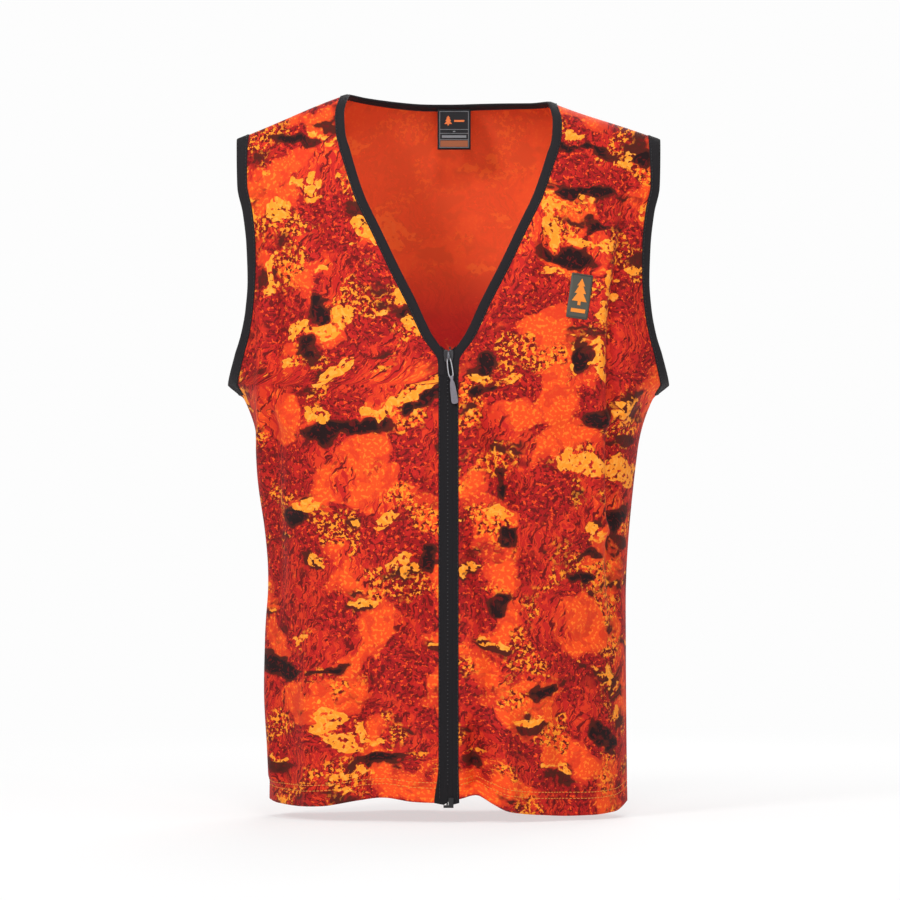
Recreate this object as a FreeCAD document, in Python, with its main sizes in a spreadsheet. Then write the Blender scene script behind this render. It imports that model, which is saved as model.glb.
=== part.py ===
"""Blaze orange camouflage vest with a V neck, bound edges and a separating front zip.

Frame: +X to the wearer's left, +Y to the wearer's back, +Z up. The origin is the centre of the
bounding box at the hem. All sizes are in millimetres.
"""

import FreeCAD
import Part
import math
import os

Vector = FreeCAD.Vector

SIZES = {
    # garment outline, heights above the hem
    "neck_point_height": 728.0,
    "shoulder_tip_height": 687.0,
    "armpit_height": 437.0,
    "neck_bottom_height": 473.0,
    "chest_height": 372.0,
    "waist_height": 215.0,
    "underarm_drop": 15.0,
    # garment outline, half widths
    "neck_half_width": 104.0,
    "shoulder_half_width": 214.0,
    "armpit_half_width": 223.0,
    "underarm_half_width": 207.0,
    "chest_half_width": 192.0,
    "waist_half_width": 180.0,
    "hem_half_width": 181.5,
    # garment outline, depths from the side seams
    "front_depth": 120.0,
    "back_depth": 114.0,
    "back_waist_depth": 101.0,
    "back_hem_depth": 108.0,
    "back_neck_depth": 46.0,
    "armhole_round": 50.0,
    "armhole_narrowing": 12.3,
    "neck_start_drop": 11.5,
    "neck_start_rise": 28.0,
    # cloth
    "cloth_thickness": 1.6,
    "seam_gap": 0.8,
    "binding_width": 11.0,
    "binding_end_width": 5.1,
    "binding_thickness": 3.0,
    "binding_gap": 1.0,
    "back_neck_gap": 2.0,
    "armhole_gap": 1.8,
    # zip
    "tape_width": 7.6,
    "tape_thickness": 0.8,
    "tape_inset": 2.2,
    "tape_gap": 0.4,
    "tape_bottom": 18.0,
    "tape_end_gap": 3.6,
    "tooth_pitch": 3.9,
    "tooth_height": 1.7,
    "tooth_thickness": 2.6,
    "tooth_overlap": 0.9,
    "pin_width": 1.8,
    "pin_length": 14.0,
    "box_width": 10.0,
    "box_thickness": 5.0,
    "box_height": 10.0,
    "box_floor": 2.5,
    "stop_width": 1.6,
    "stop_height": 2.5,
    "slider_drop": 1.5,
    "slider_width": 9.6,
    "slider_length": 12.0,
    "slider_plate": 1.4,
    "slider_channel": 3.2,
    "slider_lip": 0.8,
    "wedge_width": 2.4,
    "tape_slot": 1.6,
    "crown_width": 2.6,
    "crown_depth": 4.4,
    "crown_bar": 1.4,
    "link_play": 0.4,
    "link_width": 5.6,
    "link_length": 21.0,
    "link_wire": 1.2,
    "link_corner": 0.9,
    "tab_length": 27.0,
    "tab_top_width": 5.6,
    "tab_end_width": 8.0,
    "tab_thickness": 3.0,
    "tab_neck_width": 2.0,
    "tab_neck_length": 2.8,
    "tab_eye_clearance": 0.3,
    "pull_lean": 8.0,
    # label, patch and stitching
    "label_centre_x": 5.7,
    "label_width": 34.0,
    "label_length": 40.0,
    "label_thickness": 0.6,
    "label_drop": 1.5,
    "label_stand_off": 0.8,
    "patch_width": 22.0,
    "patch_stand_off": 0.9,
    "patch_length": 45.5,
    "patch_thickness": 1.0,
    "patch_centre_x": 129.8,
    "patch_centre_height": 525.0,
    "patch_lean": 8.0,
    "stitch_width": 0.8,
    "stitch_height": 0.4,
    "stitch_lift": 0.15,
    "stitch_low_row": 18.0,
    "stitch_high_row": 24.0,
}

# Half width of the neck opening: share of the V's height, share of the neck half width.
NECK_CURVE = [
    (0.000, 0.050),
    (0.020, 0.068),
    (0.090, 0.190),
    (0.220, 0.350),
    (0.350, 0.520),
    (0.490, 0.692),
    (0.620, 0.850),
    (0.770, 0.976),
    (0.860, 1.035),
    (0.930, 1.044),
    (1.000, 1.000),
]
# Armhole edge: share of the armhole's height, share of the way out from its narrowest width.
ARMHOLE_CURVE = [
    (0.000, 1.90),
    (0.032, 1.70),
    (0.116, 1.10),
    (0.200, 0.55),
    (0.300, 0.17),
    (0.410, 0.00),
    (0.550, 0.10),
    (0.690, 0.42),
    (0.800, 0.88),
    (1.000, 1.00),
]
FRONT_CREST = 2.2  # exponent of the front's rounding towards the shoulder seam
BACK_CREST = 5.0  # the same for the back, which stays upright for longer
ARMHOLE_FORWARD = 0.37  # share of the depth at which the armhole edges stand off the seam plane

WEDGE_START = 0.55  # share of the slider's length below its wedge
CROWN_SHARE = 0.75  # share of the slider's length that the crown spans
# Play between the slider and the nearest tooth, and how far the tab's neck runs into its body.
TOOTH_CLEARANCE = 1.0
NECK_LAP = 1.0

doc = FreeCAD.newDocument("vest")
sheet = doc.addObject("Spreadsheet::Sheet", "Sizes")
for row, (alias, value) in enumerate(SIZES.items(), start=1):
    sheet.set(f"A{row}", alias)
    sheet.set(f"B{row}", str(value))
    sheet.setAlias(f"B{row}", alias)
doc.recompute()
SIZE = {alias: float(getattr(sheet, alias)) for alias in SIZES}


def smooth(points, at):
    """Value at a position on the curve through (position, value) points, without overshoot."""
    if at <= points[0][0]:
        return points[0][1]
    if at >= points[-1][0]:
        return points[-1][1]
    slopes = []
    for (x0, y0), (x1, y1) in zip(points, points[1:]):
        slopes.append((y1 - y0) / (x1 - x0))
    tangents = [slopes[0]]
    for left, right in zip(slopes, slopes[1:]):
        tangents.append(0.0 if left * right <= 0 else 2 * left * right / (left + right))
    tangents.append(slopes[-1])
    index = max(i for i, (x, _) in enumerate(points[:-1]) if x <= at)
    (x0, y0), (x1, y1) = points[index], points[index + 1]
    span = x1 - x0
    t = (at - x0) / span
    value = y0 * (1 + 2 * t) * (1 - t) ** 2 + y1 * t * t * (3 - 2 * t)
    return value + span * (tangents[index] * t * (1 - t) ** 2 + tangents[index + 1] * t * t * (t - 1))


# --- the garment surface: a chart of (angle round the body, height at the neck) -----------------

PULL_REACH = SIZE["slider_channel"] / 2 + SIZE["slider_plate"] + SIZE["crown_depth"]
SEAM_Y = (SIZE["front_depth"] + PULL_REACH - SIZE["back_depth"] - SIZE["cloth_thickness"] / 2) / 2
ZIP_Y = SEAM_Y - SIZE["front_depth"] - SIZE["seam_gap"] / 2
YOKE_HEIGHT = SIZE["neck_point_height"] - SIZE["armpit_height"]
HIGH = SIZE["neck_point_height"]
NECK_FOOT = SIZE["neck_bottom_height"] - SIZE["neck_start_drop"]
SLIDER_TOP = SIZE["neck_bottom_height"] - SIZE["slider_drop"]
SLIDER_FOOT = SLIDER_TOP - SIZE["slider_length"]
RIGHT_ANGLE = math.pi / 2

TORSO_WIDTHS = [
    (0.0, SIZE["hem_half_width"]),
    (SIZE["waist_height"], SIZE["waist_half_width"]),
    (SIZE["chest_height"], SIZE["chest_half_width"]),
    (SIZE["armpit_height"] - SIZE["underarm_drop"], SIZE["underarm_half_width"]),
    (SIZE["armpit_height"], SIZE["armpit_half_width"]),
]
BACK_DEPTHS = [
    (0.0, SIZE["back_hem_depth"]),
    (SIZE["waist_height"], SIZE["back_waist_depth"]),
    (SIZE["chest_height"], SIZE["back_depth"]),
    (HIGH, SIZE["back_depth"]),
]


def shoulder_height(x):
    """Height of the shoulder ridge over a point x: level over the neck, then falling to the tip."""
    run = SIZE["shoulder_half_width"] - SIZE["neck_half_width"]
    fall = SIZE["neck_point_height"] - SIZE["shoulder_tip_height"]
    beyond = max(0.0, abs(x) - SIZE["neck_half_width"])
    return HIGH - fall * beyond / run


def armhole_forward(high):
    """Cosine of the armhole edge's angle: zero at the armpit, full above the rounded bottom."""
    t = min(1.0, max(0.0, (high - SIZE["armpit_height"]) / SIZE["armhole_round"]))
    return ARMHOLE_FORWARD * math.sqrt(1 - (1 - t) ** 2)


def armhole_half_width(high):
    share = (high - SIZE["armpit_height"]) / YOKE_HEIGHT
    narrow = SIZE["shoulder_half_width"] - SIZE["armhole_narrowing"]
    reach = smooth(ARMHOLE_CURVE, share)
    if reach <= 1.0:
        return narrow + SIZE["armhole_narrowing"] * reach
    out = (reach - 1.0) / (ARMHOLE_CURVE[0][1] - 1.0)
    return SIZE["shoulder_half_width"] + out * (SIZE["armpit_half_width"] - SIZE["shoulder_half_width"])


def section_half_width(high):
    if high <= SIZE["armpit_height"]:
        return smooth(TORSO_WIDTHS, high)
    return armhole_half_width(high) / math.sqrt(1 - armhole_forward(high) ** 2)


def crest(high, start, exponent):
    """Share of the depth left at a height, falling to nothing on the shoulder ridge."""
    share = min(1.0, max(0.0, (high - start) / (HIGH - start)))
    return math.sqrt(max(0.0, 1 - share**exponent))


def depth(side, high):
    if side == "front":
        return SIZE["front_depth"] * crest(high, SIZE["neck_bottom_height"], FRONT_CREST)
    return smooth(BACK_DEPTHS, high) * crest(high, SIZE["armpit_height"], BACK_CREST)


def on_garment(side, angle, high):
    """Point of the cloth's middle surface, at an angle from the centre line and a chart height."""
    x = section_half_width(high) * math.sin(angle)
    z = high
    if high > SIZE["armpit_height"]:
        share = (high - SIZE["armpit_height"]) / YOKE_HEIGHT
        z = SIZE["armpit_height"] + share * (shoulder_height(x) - SIZE["armpit_height"])
    out = SIZE["seam_gap"] / 2 + depth(side, high) * math.cos(angle)
    return Vector(x, SEAM_Y - out if side == "front" else SEAM_Y + out, z)


def tangents_on_garment(side, angle, high):
    """Change of the surface point per radian and per millimetre of chart height."""
    turn = 0.004
    rise = 0.5
    low = min(high, HIGH - 2 * rise) - rise
    by_angle = on_garment(side, angle + turn, high) - on_garment(side, angle - turn, high)
    top = min(HIGH, high + rise)
    by_height = on_garment(side, angle, top) - on_garment(side, angle, low)
    return by_angle * (0.5 / turn), by_height * (1.0 / (top - low))


def outward(side, angle, high):
    by_angle, by_height = tangents_on_garment(side, angle, high)
    normal = by_angle.cross(by_height)
    if side == "back":
        normal = normal * -1
    return normal.normalize()


# --- edges of the cloth, as points of the chart -------------------------------------------------

def spaced_heights(start, end, count):
    return [start + (end - start) * i / count for i in range(count + 1)]


def crest_heights(start, exponent, count):
    """Chart heights that step evenly round the shoulder's curve."""
    steps = []
    for i in range(1, count + 1):
        share = math.sin(RIGHT_ANGLE * (0.45 + 0.55 * i / count)) ** (2 / exponent)
        steps.append(start + share * (HIGH - start))
    return steps


def armhole_heights(exponent, start):
    """Chart heights up the armhole, close together in its round bottom and at the shoulder."""
    bottom = []
    for i in range(9):
        round_share = 1 - math.cos(RIGHT_ANGLE * i / 8)
        bottom.append(SIZE["armpit_height"] + SIZE["armhole_round"] * round_share)
    top = crest_heights(start, exponent, 8)
    middle = spaced_heights(bottom[-1], top[0], 5)[1:-1]
    return bottom + middle + top


def armhole_edge(side):
    if side == "front":
        heights = armhole_heights(FRONT_CREST, SIZE["neck_bottom_height"])
    else:
        heights = armhole_heights(BACK_CREST, SIZE["armpit_height"])
    return [(math.acos(armhole_forward(high)), high) for high in heights]


def neck_half_width(high):
    share = (high - NECK_FOOT) / (HIGH - NECK_FOOT)
    return SIZE["neck_half_width"] * smooth(NECK_CURVE, share)


def front_neck_edge():
    crest_steps = crest_heights(SIZE["neck_bottom_height"], FRONT_CREST, 9)
    heights = spaced_heights(NECK_FOOT, crest_steps[0], 12)[:-1] + crest_steps
    edge = []
    for high in heights:
        edge.append((math.asin(neck_half_width(high) / section_half_width(high)), high))
    return edge


def back_neck_height(x):
    """Chart height of the back neckline: on the ridge at the neck points, lower between them."""
    share = min(1.0, abs(x) / SIZE["neck_half_width"])
    reach = SIZE["back_neck_depth"] * math.sqrt(1 - share**2)
    stays = reach / SIZE["back_depth"]
    drop = (1 - stays**2) ** (1 / BACK_CREST)
    return SIZE["armpit_height"] + YOKE_HEIGHT * drop


def back_neck_edge():
    edge = []
    steps = 24
    for i in range(steps + 1):
        x = -SIZE["neck_half_width"] * math.cos(math.pi * i / steps)
        high = back_neck_height(x)
        edge.append((math.asin(x / section_half_width(high)), high))
    return edge


def inset(side, edge, width, turn_sign):
    """Edge moved into the cloth by a width, measured square to the edge on the surface."""
    moved = []
    last = len(edge) - 1
    for i, (angle, high) in enumerate(edge):
        before = edge[max(0, i - 1)]
        after = edge[min(last, i + 1)]
        along = on_garment(side, *after) - on_garment(side, *before)
        along.normalize()
        across = outward(side, angle, high).cross(along) * turn_sign
        by_angle, by_height = tangents_on_garment(side, angle, high)
        a, b = by_angle.dot(along), by_height.dot(along)
        c, d = by_angle.dot(across), by_height.dot(across)
        wide = width(high) if callable(width) else width
        determinant = a * d - b * c
        moved.append((angle - b * wide / determinant, high + a * wide / determinant))
    return moved


def neck_binding_width(high):
    share = min(1.0, (high - NECK_FOOT) / SIZE["neck_start_rise"])
    return SIZE["binding_end_width"] + share * (SIZE["binding_width"] - SIZE["binding_end_width"])


def as_height_curve(edge):
    """(height, angle) pairs in rising order, for smooth()."""
    curve = []
    for angle, high in edge:
        if not curve or high > curve[-1][0] + 0.05:
            curve.append((high, angle))
    return curve


# --- solids from grids of points ---------------------------------------------------------------

def knots(count, degree):
    """Even knots of a curve that starts and ends on its first and last poles."""
    inner = count - degree - 1
    return [float(i) for i in range(inner + 2)], [degree + 1] + [1] * inner + [degree + 1]


def spline_face(rows):
    """Face of the smooth surface that a grid of poles pulls into shape."""
    degree_v = min(3, len(rows) - 1)
    degree_u = min(3, len(rows[0]) - 1)
    v_knots, v_times = knots(len(rows), degree_v)
    u_knots, u_times = knots(len(rows[0]), degree_u)
    surface = Part.BSplineSurface()
    surface.buildFromPolesMultsKnots(
        rows, v_times, u_times, v_knots, u_knots, False, False, degree_v, degree_u
    )
    return surface.toShape()


def level_face(first, second):
    """Flat face between two level curves of poles."""
    edges = []
    for poles in (first, second):
        degree = min(3, len(poles) - 1)
        values, times = knots(len(poles), degree)
        curve = Part.BSplineCurve()
        curve.buildFromPolesMultsKnots(poles, times, values, False, degree)
        edges.append(curve.toShape())
    edges.append(Part.LineSegment(first[0], second[0]).toShape())
    edges.append(Part.LineSegment(first[-1], second[-1]).toShape())
    return Part.Face(Part.Wire(Part.sortEdges(edges)[0]))


def rim_face(first, second):
    heights = [point.z for point in first + second]
    if max(heights) - min(heights) < 1e-9:
        return level_face(first, second)
    return spline_face([first, second])


def solid_between(outer, inner):
    """Solid between two grids of the same size, closed by ruled faces round the rim."""
    faces = [spline_face(outer), spline_face(inner)]
    faces.append(rim_face(outer[0], inner[0]))
    faces.append(rim_face(outer[-1], inner[-1]))
    faces.append(spline_face([[row[0] for row in outer], [row[0] for row in inner]]))
    faces.append(spline_face([[row[-1] for row in outer], [row[-1] for row in inner]]))
    shell = Part.makeCompound(faces)
    shell.sewShape()
    solid = Part.makeSolid(shell.Shells[0])
    if solid.Volume < 0:
        solid.reverse()
    return solid


def cloth_solid(side, chart_rows, thickness, lift=0.0):
    """Solid of a thickness about the garment surface, over rows of chart points."""
    outer = []
    inner = []
    for chart_row in chart_rows:
        outer_row = []
        inner_row = []
        for angle, high in chart_row:
            point = on_garment(side, angle, high)
            normal = outward(side, angle, high)
            if high == 0.0:
                normal = Vector(normal.x, normal.y, 0).normalize()
            outer_row.append(point + normal * (lift + thickness / 2))
            inner_row.append(point + normal * (lift - thickness / 2))
        outer.append(outer_row)
        inner.append(inner_row)
    return solid_between(outer, inner)


def between(first, last, count):
    """Chart points from one to another in even steps."""
    points = []
    for i in range(count + 1):
        t = i / count
        points.append((first[0] + t * (last[0] - first[0]), first[1] + t * (last[1] - first[1])))
    return points


def mirrored(shape):
    return shape.mirror(Vector(0, 0, 0), Vector(1, 0, 0))


# --- cloth pieces ------------------------------------------------------------------------------

ARMHOLE_STEP = SIZE["binding_width"] + SIZE["armhole_gap"]
BACK_NECK_STEP = SIZE["binding_width"] + SIZE["back_neck_gap"]


def panel_heights(side):
    """Chart heights of a panel's rows, from the hem to the shoulder."""
    armhole_border = inset(side, armhole_edge(side), ARMHOLE_STEP, 1 if side == "front" else -1)
    first = armhole_border[0][1]
    torso = spaced_heights(0.0, first, 14)
    rising = [high for high, _ in as_height_curve(armhole_border)]
    return torso + [high for high in rising if high > torso[-1] + 0.5 and high < HIGH] + [HIGH]


def panel_border_angle(side):
    """Function giving the angle of a panel's outer border at a chart height."""
    sign = 1 if side == "front" else -1
    curve = as_height_curve(inset(side, armhole_edge(side), ARMHOLE_STEP, sign))

    def angle_at(high):
        return RIGHT_ANGLE if high <= curve[0][0] else smooth(curve, high)

    return angle_at


def front_panel():
    def width(high):
        return neck_binding_width(high) + SIZE["binding_gap"]

    neck_border = as_height_curve(inset("front", front_neck_edge(), width, -1))
    tape_edge = SIZE["tape_inset"] + SIZE["tape_width"] + SIZE["tape_gap"]
    outer_angle = panel_border_angle("front")
    rows = []
    for high in panel_heights("front"):
        straight = math.asin(tape_edge / section_half_width(high))
        inner_angle = straight
        if high > neck_border[0][0]:
            inner_angle = max(straight, smooth(neck_border, high))
        rows.append(between((inner_angle, high), (outer_angle(high), high), 26))
    return cloth_solid("front", rows, SIZE["cloth_thickness"])


def back_panel():
    border = inset("back", back_neck_edge(), BACK_NECK_STEP, 1)
    neck_border = sorted((angle, high) for angle, high in border)
    outer_angle = panel_border_angle("back")
    shares = []
    for i in range(57):
        even = i / 28 - 1
        shares.append(math.sin(RIGHT_ANGLE * even) * 0.25 + even * 0.75)
    rows = []
    for high in panel_heights("back"):
        edge = outer_angle(high)
        row = []
        for share in shares:
            angle = share * outer_angle(HIGH)
            top = smooth(neck_border, angle) if abs(angle) <= neck_border[-1][0] else HIGH
            lift = max(0.0, high - SIZE["chest_height"]) / (HIGH - SIZE["chest_height"])
            row.append((share * edge, high - (HIGH - top) * lift))
        rows.append(row)
    return cloth_solid("back", rows, SIZE["cloth_thickness"])


def binding_strip(side, edge, width, sign):
    inner = inset(side, edge, width, sign)
    rows = [between(first, last, 4) for first, last in zip(edge, inner)]
    return cloth_solid(side, rows, SIZE["binding_thickness"])


def armhole_binding():
    """The front and back halves of one armhole's binding."""
    front = binding_strip("front", armhole_edge("front"), SIZE["binding_width"], 1)
    back = binding_strip("back", armhole_edge("back"), SIZE["binding_width"], -1)
    return Part.makeCompound([front, back])


def hem_stitch(side, first_angle, last_angle):
    """Two rows of thread above the hem, standing on the cloth's outer face."""
    lift = SIZE["cloth_thickness"] / 2 + SIZE["stitch_height"] / 2 + SIZE["stitch_lift"]
    rows_of_thread = []
    steps = 56 if side == "back" else 28
    for low in (SIZE["stitch_low_row"], SIZE["stitch_high_row"]):
        chart = []
        for high in spaced_heights(low, low + SIZE["stitch_width"], 1):
            chart.append(between((first_angle, high), (last_angle, high), steps))
        rows_of_thread.append(cloth_solid(side, chart, SIZE["stitch_height"], lift))
    return Part.makeCompound(rows_of_thread)


def cloth_feature(label, shape):
    piece = doc.addObject("Part::Feature", label)
    piece.Label = label
    piece.Shape = shape
    return piece


def make_cloth():
    left_front = front_panel()
    neck_left = binding_strip("front", front_neck_edge(), neck_binding_width, -1)
    armhole_left = armhole_binding()
    inner_angle = math.asin(
        (SIZE["tape_inset"] + SIZE["tape_width"] + 2 * SIZE["tape_gap"]) / SIZE["hem_half_width"]
    )
    stitch_left = hem_stitch("front", inner_angle, RIGHT_ANGLE - 0.01)
    pieces = {
        "back_panel": back_panel(),
        "front_left_panel": left_front,
        "front_right_panel": mirrored(left_front),
        "neck_binding_back": binding_strip("back", back_neck_edge(), SIZE["binding_width"], 1),
        "neck_binding_left": neck_left,
        "neck_binding_right": mirrored(neck_left),
        "armhole_binding_left": armhole_left,
        "armhole_binding_right": mirrored(armhole_left),
        "hem_topstitch_back": hem_stitch("back", 0.01 - RIGHT_ANGLE, RIGHT_ANGLE - 0.01),
        "hem_topstitch_left": stitch_left,
        "hem_topstitch_right": mirrored(stitch_left),
    }
    for label, shape in pieces.items():
        cloth_feature(label, shape)


# --- sewn-on pieces ----------------------------------------------------------------------------

def padded_plate(label, width, length, thickness, corner):
    """Rounded rectangle in a body's XZ plane, padded to a thickness, centred on its top edge."""
    body = doc.addObject("PartDesign::Body", label)
    body.Label = label
    plane = [f for f in body.Origin.OriginFeatures if f.Role == "XZ_Plane"][0]
    outline = body.newObject("Sketcher::SketchObject", f"{label}_outline")
    outline.AttachmentSupport = [(plane, "")]
    outline.MapMode = "FlatFace"
    half = width / 2
    corners = [(-half, 0.0), (half, 0.0), (half, -length), (-half, -length)]
    for start, end in zip(corners, corners[1:] + corners[:1]):
        outline.addGeometry(Part.LineSegment(Vector(*start, 0), Vector(*end, 0)), False)
    pad = body.newObject("PartDesign::Pad", f"{label}_pad")
    pad.Profile = outline
    pad.Midplane = True
    pad.setExpression("Length", f"<<Sizes>>.{thickness}")
    doc.recompute()
    rounding = body.newObject("PartDesign::Fillet", f"{label}_corners")
    upright = []
    for index, edge in enumerate(pad.Shape.Edges, start=1):
        direction = edge.tangentAt(edge.FirstParameter)
        if abs(direction.y) > 0.99:
            upright.append(f"Edge{index}")
    rounding.Base = (pad, upright)
    rounding.Radius = corner
    body.Tip = rounding
    return body


def make_label():
    label = padded_plate(
        "neck_label", SIZE["label_width"], SIZE["label_length"], "label_thickness", 1.5
    )
    high = back_neck_height(0.0) - SIZE["label_drop"]
    angle = math.asin(SIZE["label_centre_x"] / section_half_width(high))
    top = on_garment("back", angle, high)
    clear = (SIZE["binding_thickness"] + SIZE["label_thickness"]) / 2 + SIZE["label_stand_off"]
    inward = outward("back", 0.0, high) * -clear
    label.Placement = FreeCAD.Placement(top + inward, FreeCAD.Rotation())


def make_patch():
    patch = padded_plate(
        "chest_patch", SIZE["patch_width"], SIZE["patch_length"], "patch_thickness", 1.0
    )
    high = SIZE["patch_centre_height"]
    angle = math.asin(SIZE["patch_centre_x"] / section_half_width(high))
    high += SIZE["patch_centre_height"] - on_garment("front", angle, high).z
    centre = on_garment("front", angle, high)
    normal = outward("front", angle, high)
    clear = SIZE["cloth_thickness"] / 2 + SIZE["patch_thickness"] / 2 + SIZE["patch_stand_off"]
    turn = FreeCAD.Rotation(Vector(0, -1, 0), normal)
    turn = turn.multiply(FreeCAD.Rotation(Vector(0, 1, 0), SIZE["patch_lean"]))
    up = turn.multVec(Vector(0, 0, 1)) * (SIZE["patch_length"] / 2)
    patch.Placement = FreeCAD.Placement(centre + normal * clear + up, turn)


# --- zip ---------------------------------------------------------------------------------------

def box(name, lengths, corner):
    """Part::Box whose lengths and corner are expressions of the sheet's cells."""
    piece = doc.addObject("Part::Box", name)
    for prop, rule in zip(("Length", "Width", "Height"), lengths):
        piece.setExpression(prop, cells(rule))
    for axis, rule in zip("xyz", corner):
        piece.setExpression(f"Placement.Base.{axis}", cells(rule))
    return piece


def cells(rule):
    """Expression text with each cell's name given its sheet."""
    words = []
    for word in rule.split():
        words.append(f"<<Sizes>>.{word}" if word in SIZES else word)
    return " ".join(words)


def joined(label, kind, pieces):
    whole = doc.addObject(f"Part::{kind}", label)
    if kind == "Cut":
        whole.Base, whole.Tool = pieces
    elif kind == "MultiFuse":
        whole.Shapes = pieces
    else:
        whole.Links = pieces
    whole.Label = label
    return whole


NECK_FOOT_RULE = "( neck_bottom_height - neck_start_drop )"
TOP_RULE = "( neck_bottom_height - slider_drop )"
FOOT_RULE = "( neck_bottom_height - slider_drop - slider_length )"
ZIP_CENTRE = f"( {ZIP_Y} )"


def make_tapes():
    """Left tape runs up beside the slider; right tape ends below it, so that it can part."""
    low = "tape_bottom"
    left_main = box(
        "left_tape_main",
        ("tape_width", "tape_thickness", f"{NECK_FOOT_RULE} - tape_end_gap - {low}"),
        ("tape_inset", f"{ZIP_CENTRE} - tape_thickness / 2", low),
    )
    left_top = box(
        "left_tape_top",
        ("slider_width / 2 - tape_inset", "tape_thickness", "neck_start_drop + tape_end_gap + 0.5"),
        ("tape_inset", f"{ZIP_CENTRE} - tape_thickness / 2", f"{NECK_FOOT_RULE} - tape_end_gap - 0.1"),
    )
    joined("zip_tape_left", "MultiFuse", [left_main, left_top])
    right = box(
        "zip_tape_right",
        ("tape_width", "tape_thickness", f"{FOOT_RULE} - tape_end_gap / 3 - {low}"),
        ("0 - tape_inset - tape_width", f"{ZIP_CENTRE} - tape_thickness / 2", low),
    )
    right.Label = "zip_tape_right"


def tooth():
    """One moulded tooth: a block with a head that narrows towards the other row."""
    reach = SIZE["tape_inset"] + SIZE["tooth_overlap"]
    half = SIZE["tooth_height"] / 2
    neck = half * 0.55
    outline = [
        Vector(SIZE["tape_inset"], 0, -half),
        Vector(SIZE["tape_inset"] - reach * 0.45, 0, -neck),
        Vector(SIZE["tape_inset"] - reach * 0.8, 0, -half),
        Vector(-SIZE["tooth_overlap"], 0, -neck),
        Vector(-SIZE["tooth_overlap"], 0, neck),
        Vector(SIZE["tape_inset"] - reach * 0.8, 0, half),
        Vector(SIZE["tape_inset"] - reach * 0.45, 0, neck),
        Vector(SIZE["tape_inset"], 0, half),
    ]
    face = Part.Face(Part.makePolygon(outline + outline[:1]))
    solid = face.extrude(Vector(0, SIZE["tooth_thickness"], 0))
    solid.translate(Vector(0, ZIP_Y - SIZE["tooth_thickness"] / 2, 0))
    return solid


def make_teeth():
    """Two rows of teeth, set half a pitch apart so that they mesh without touching."""
    first = SIZE["tape_bottom"] + SIZE["pin_length"] + SIZE["tooth_pitch"]
    wedge_foot = SLIDER_FOOT + SIZE["slider_length"] * WEDGE_START
    ends = {"left": wedge_foot - TOOTH_CLEARANCE, "right": SLIDER_FOOT - TOOTH_CLEARANCE / 2}
    for hand, end in ends.items():
        start = first if hand == "left" else first + SIZE["tooth_pitch"] / 2
        count = int((end - SIZE["tooth_height"] / 2 - start) / SIZE["tooth_pitch"]) + 1
        row = []
        for i in range(count):
            one = tooth() if hand == "left" else mirrored(tooth())
            one.translate(Vector(0, 0, start + i * SIZE["tooth_pitch"]))
            row.append(one)
        cloth_feature(f"zip_teeth_{hand}", Part.makeCompound(row))


def make_stops_and_ends():
    depth_rule = f"{ZIP_CENTRE} - tooth_thickness / 2"
    stop = box(
        "zip_top_stop",
        ("stop_width", "tooth_thickness", "stop_height"),
        ("tape_inset - stop_width", depth_rule, f"{TOP_RULE} + 0.4"),
    )
    stop.Label = "zip_top_stop"
    pin_y = f"{ZIP_CENTRE} - pin_width / 2"
    retainer = box(
        "zip_retainer_pin",
        ("pin_width", "pin_width", "pin_length"),
        ("tape_inset - pin_width", pin_y, "tape_bottom"),
    )
    retainer.Label = "zip_retainer_pin"
    insertion = box(
        "zip_insertion_pin",
        ("pin_width", "pin_width", "pin_length"),
        ("0 - tape_inset", pin_y, "tape_bottom"),
    )
    insertion.Label = "zip_insertion_pin"
    box_y = f"{ZIP_CENTRE} - box_thickness / 2"
    box_foot = "( tape_bottom - 0.3 - box_floor )"
    block = box(
        "retainer_block",
        ("box_width / 2", "box_thickness", "box_height"),
        ("0", box_y, box_foot),
    )
    floor = box(
        "retainer_floor",
        ("box_width / 2 + 0.1", "box_thickness", "box_floor"),
        ("0 - box_width / 2", box_y, box_foot),
    )
    solid = joined("retainer_solid", "MultiFuse", [block, floor])
    pin_room = box(
        "retainer_pin_room",
        ("pin_width + 0.5", "pin_width + 0.4", "box_height"),
        ("0 - 0.1", f"{ZIP_CENTRE} - pin_width / 2 - 0.2", "tape_bottom - 0.2"),
    )
    tape_room = box(
        "retainer_tape_room",
        ("box_width", "tape_thickness + 0.4", "box_height"),
        ("1", f"{ZIP_CENTRE} - tape_thickness / 2 - 0.2", "tape_bottom - 0.2"),
    )
    rooms = joined("retainer_rooms", "MultiFuse", [pin_room, tape_room])
    joined("zip_retainer_box", "Cut", [solid, rooms])


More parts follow.
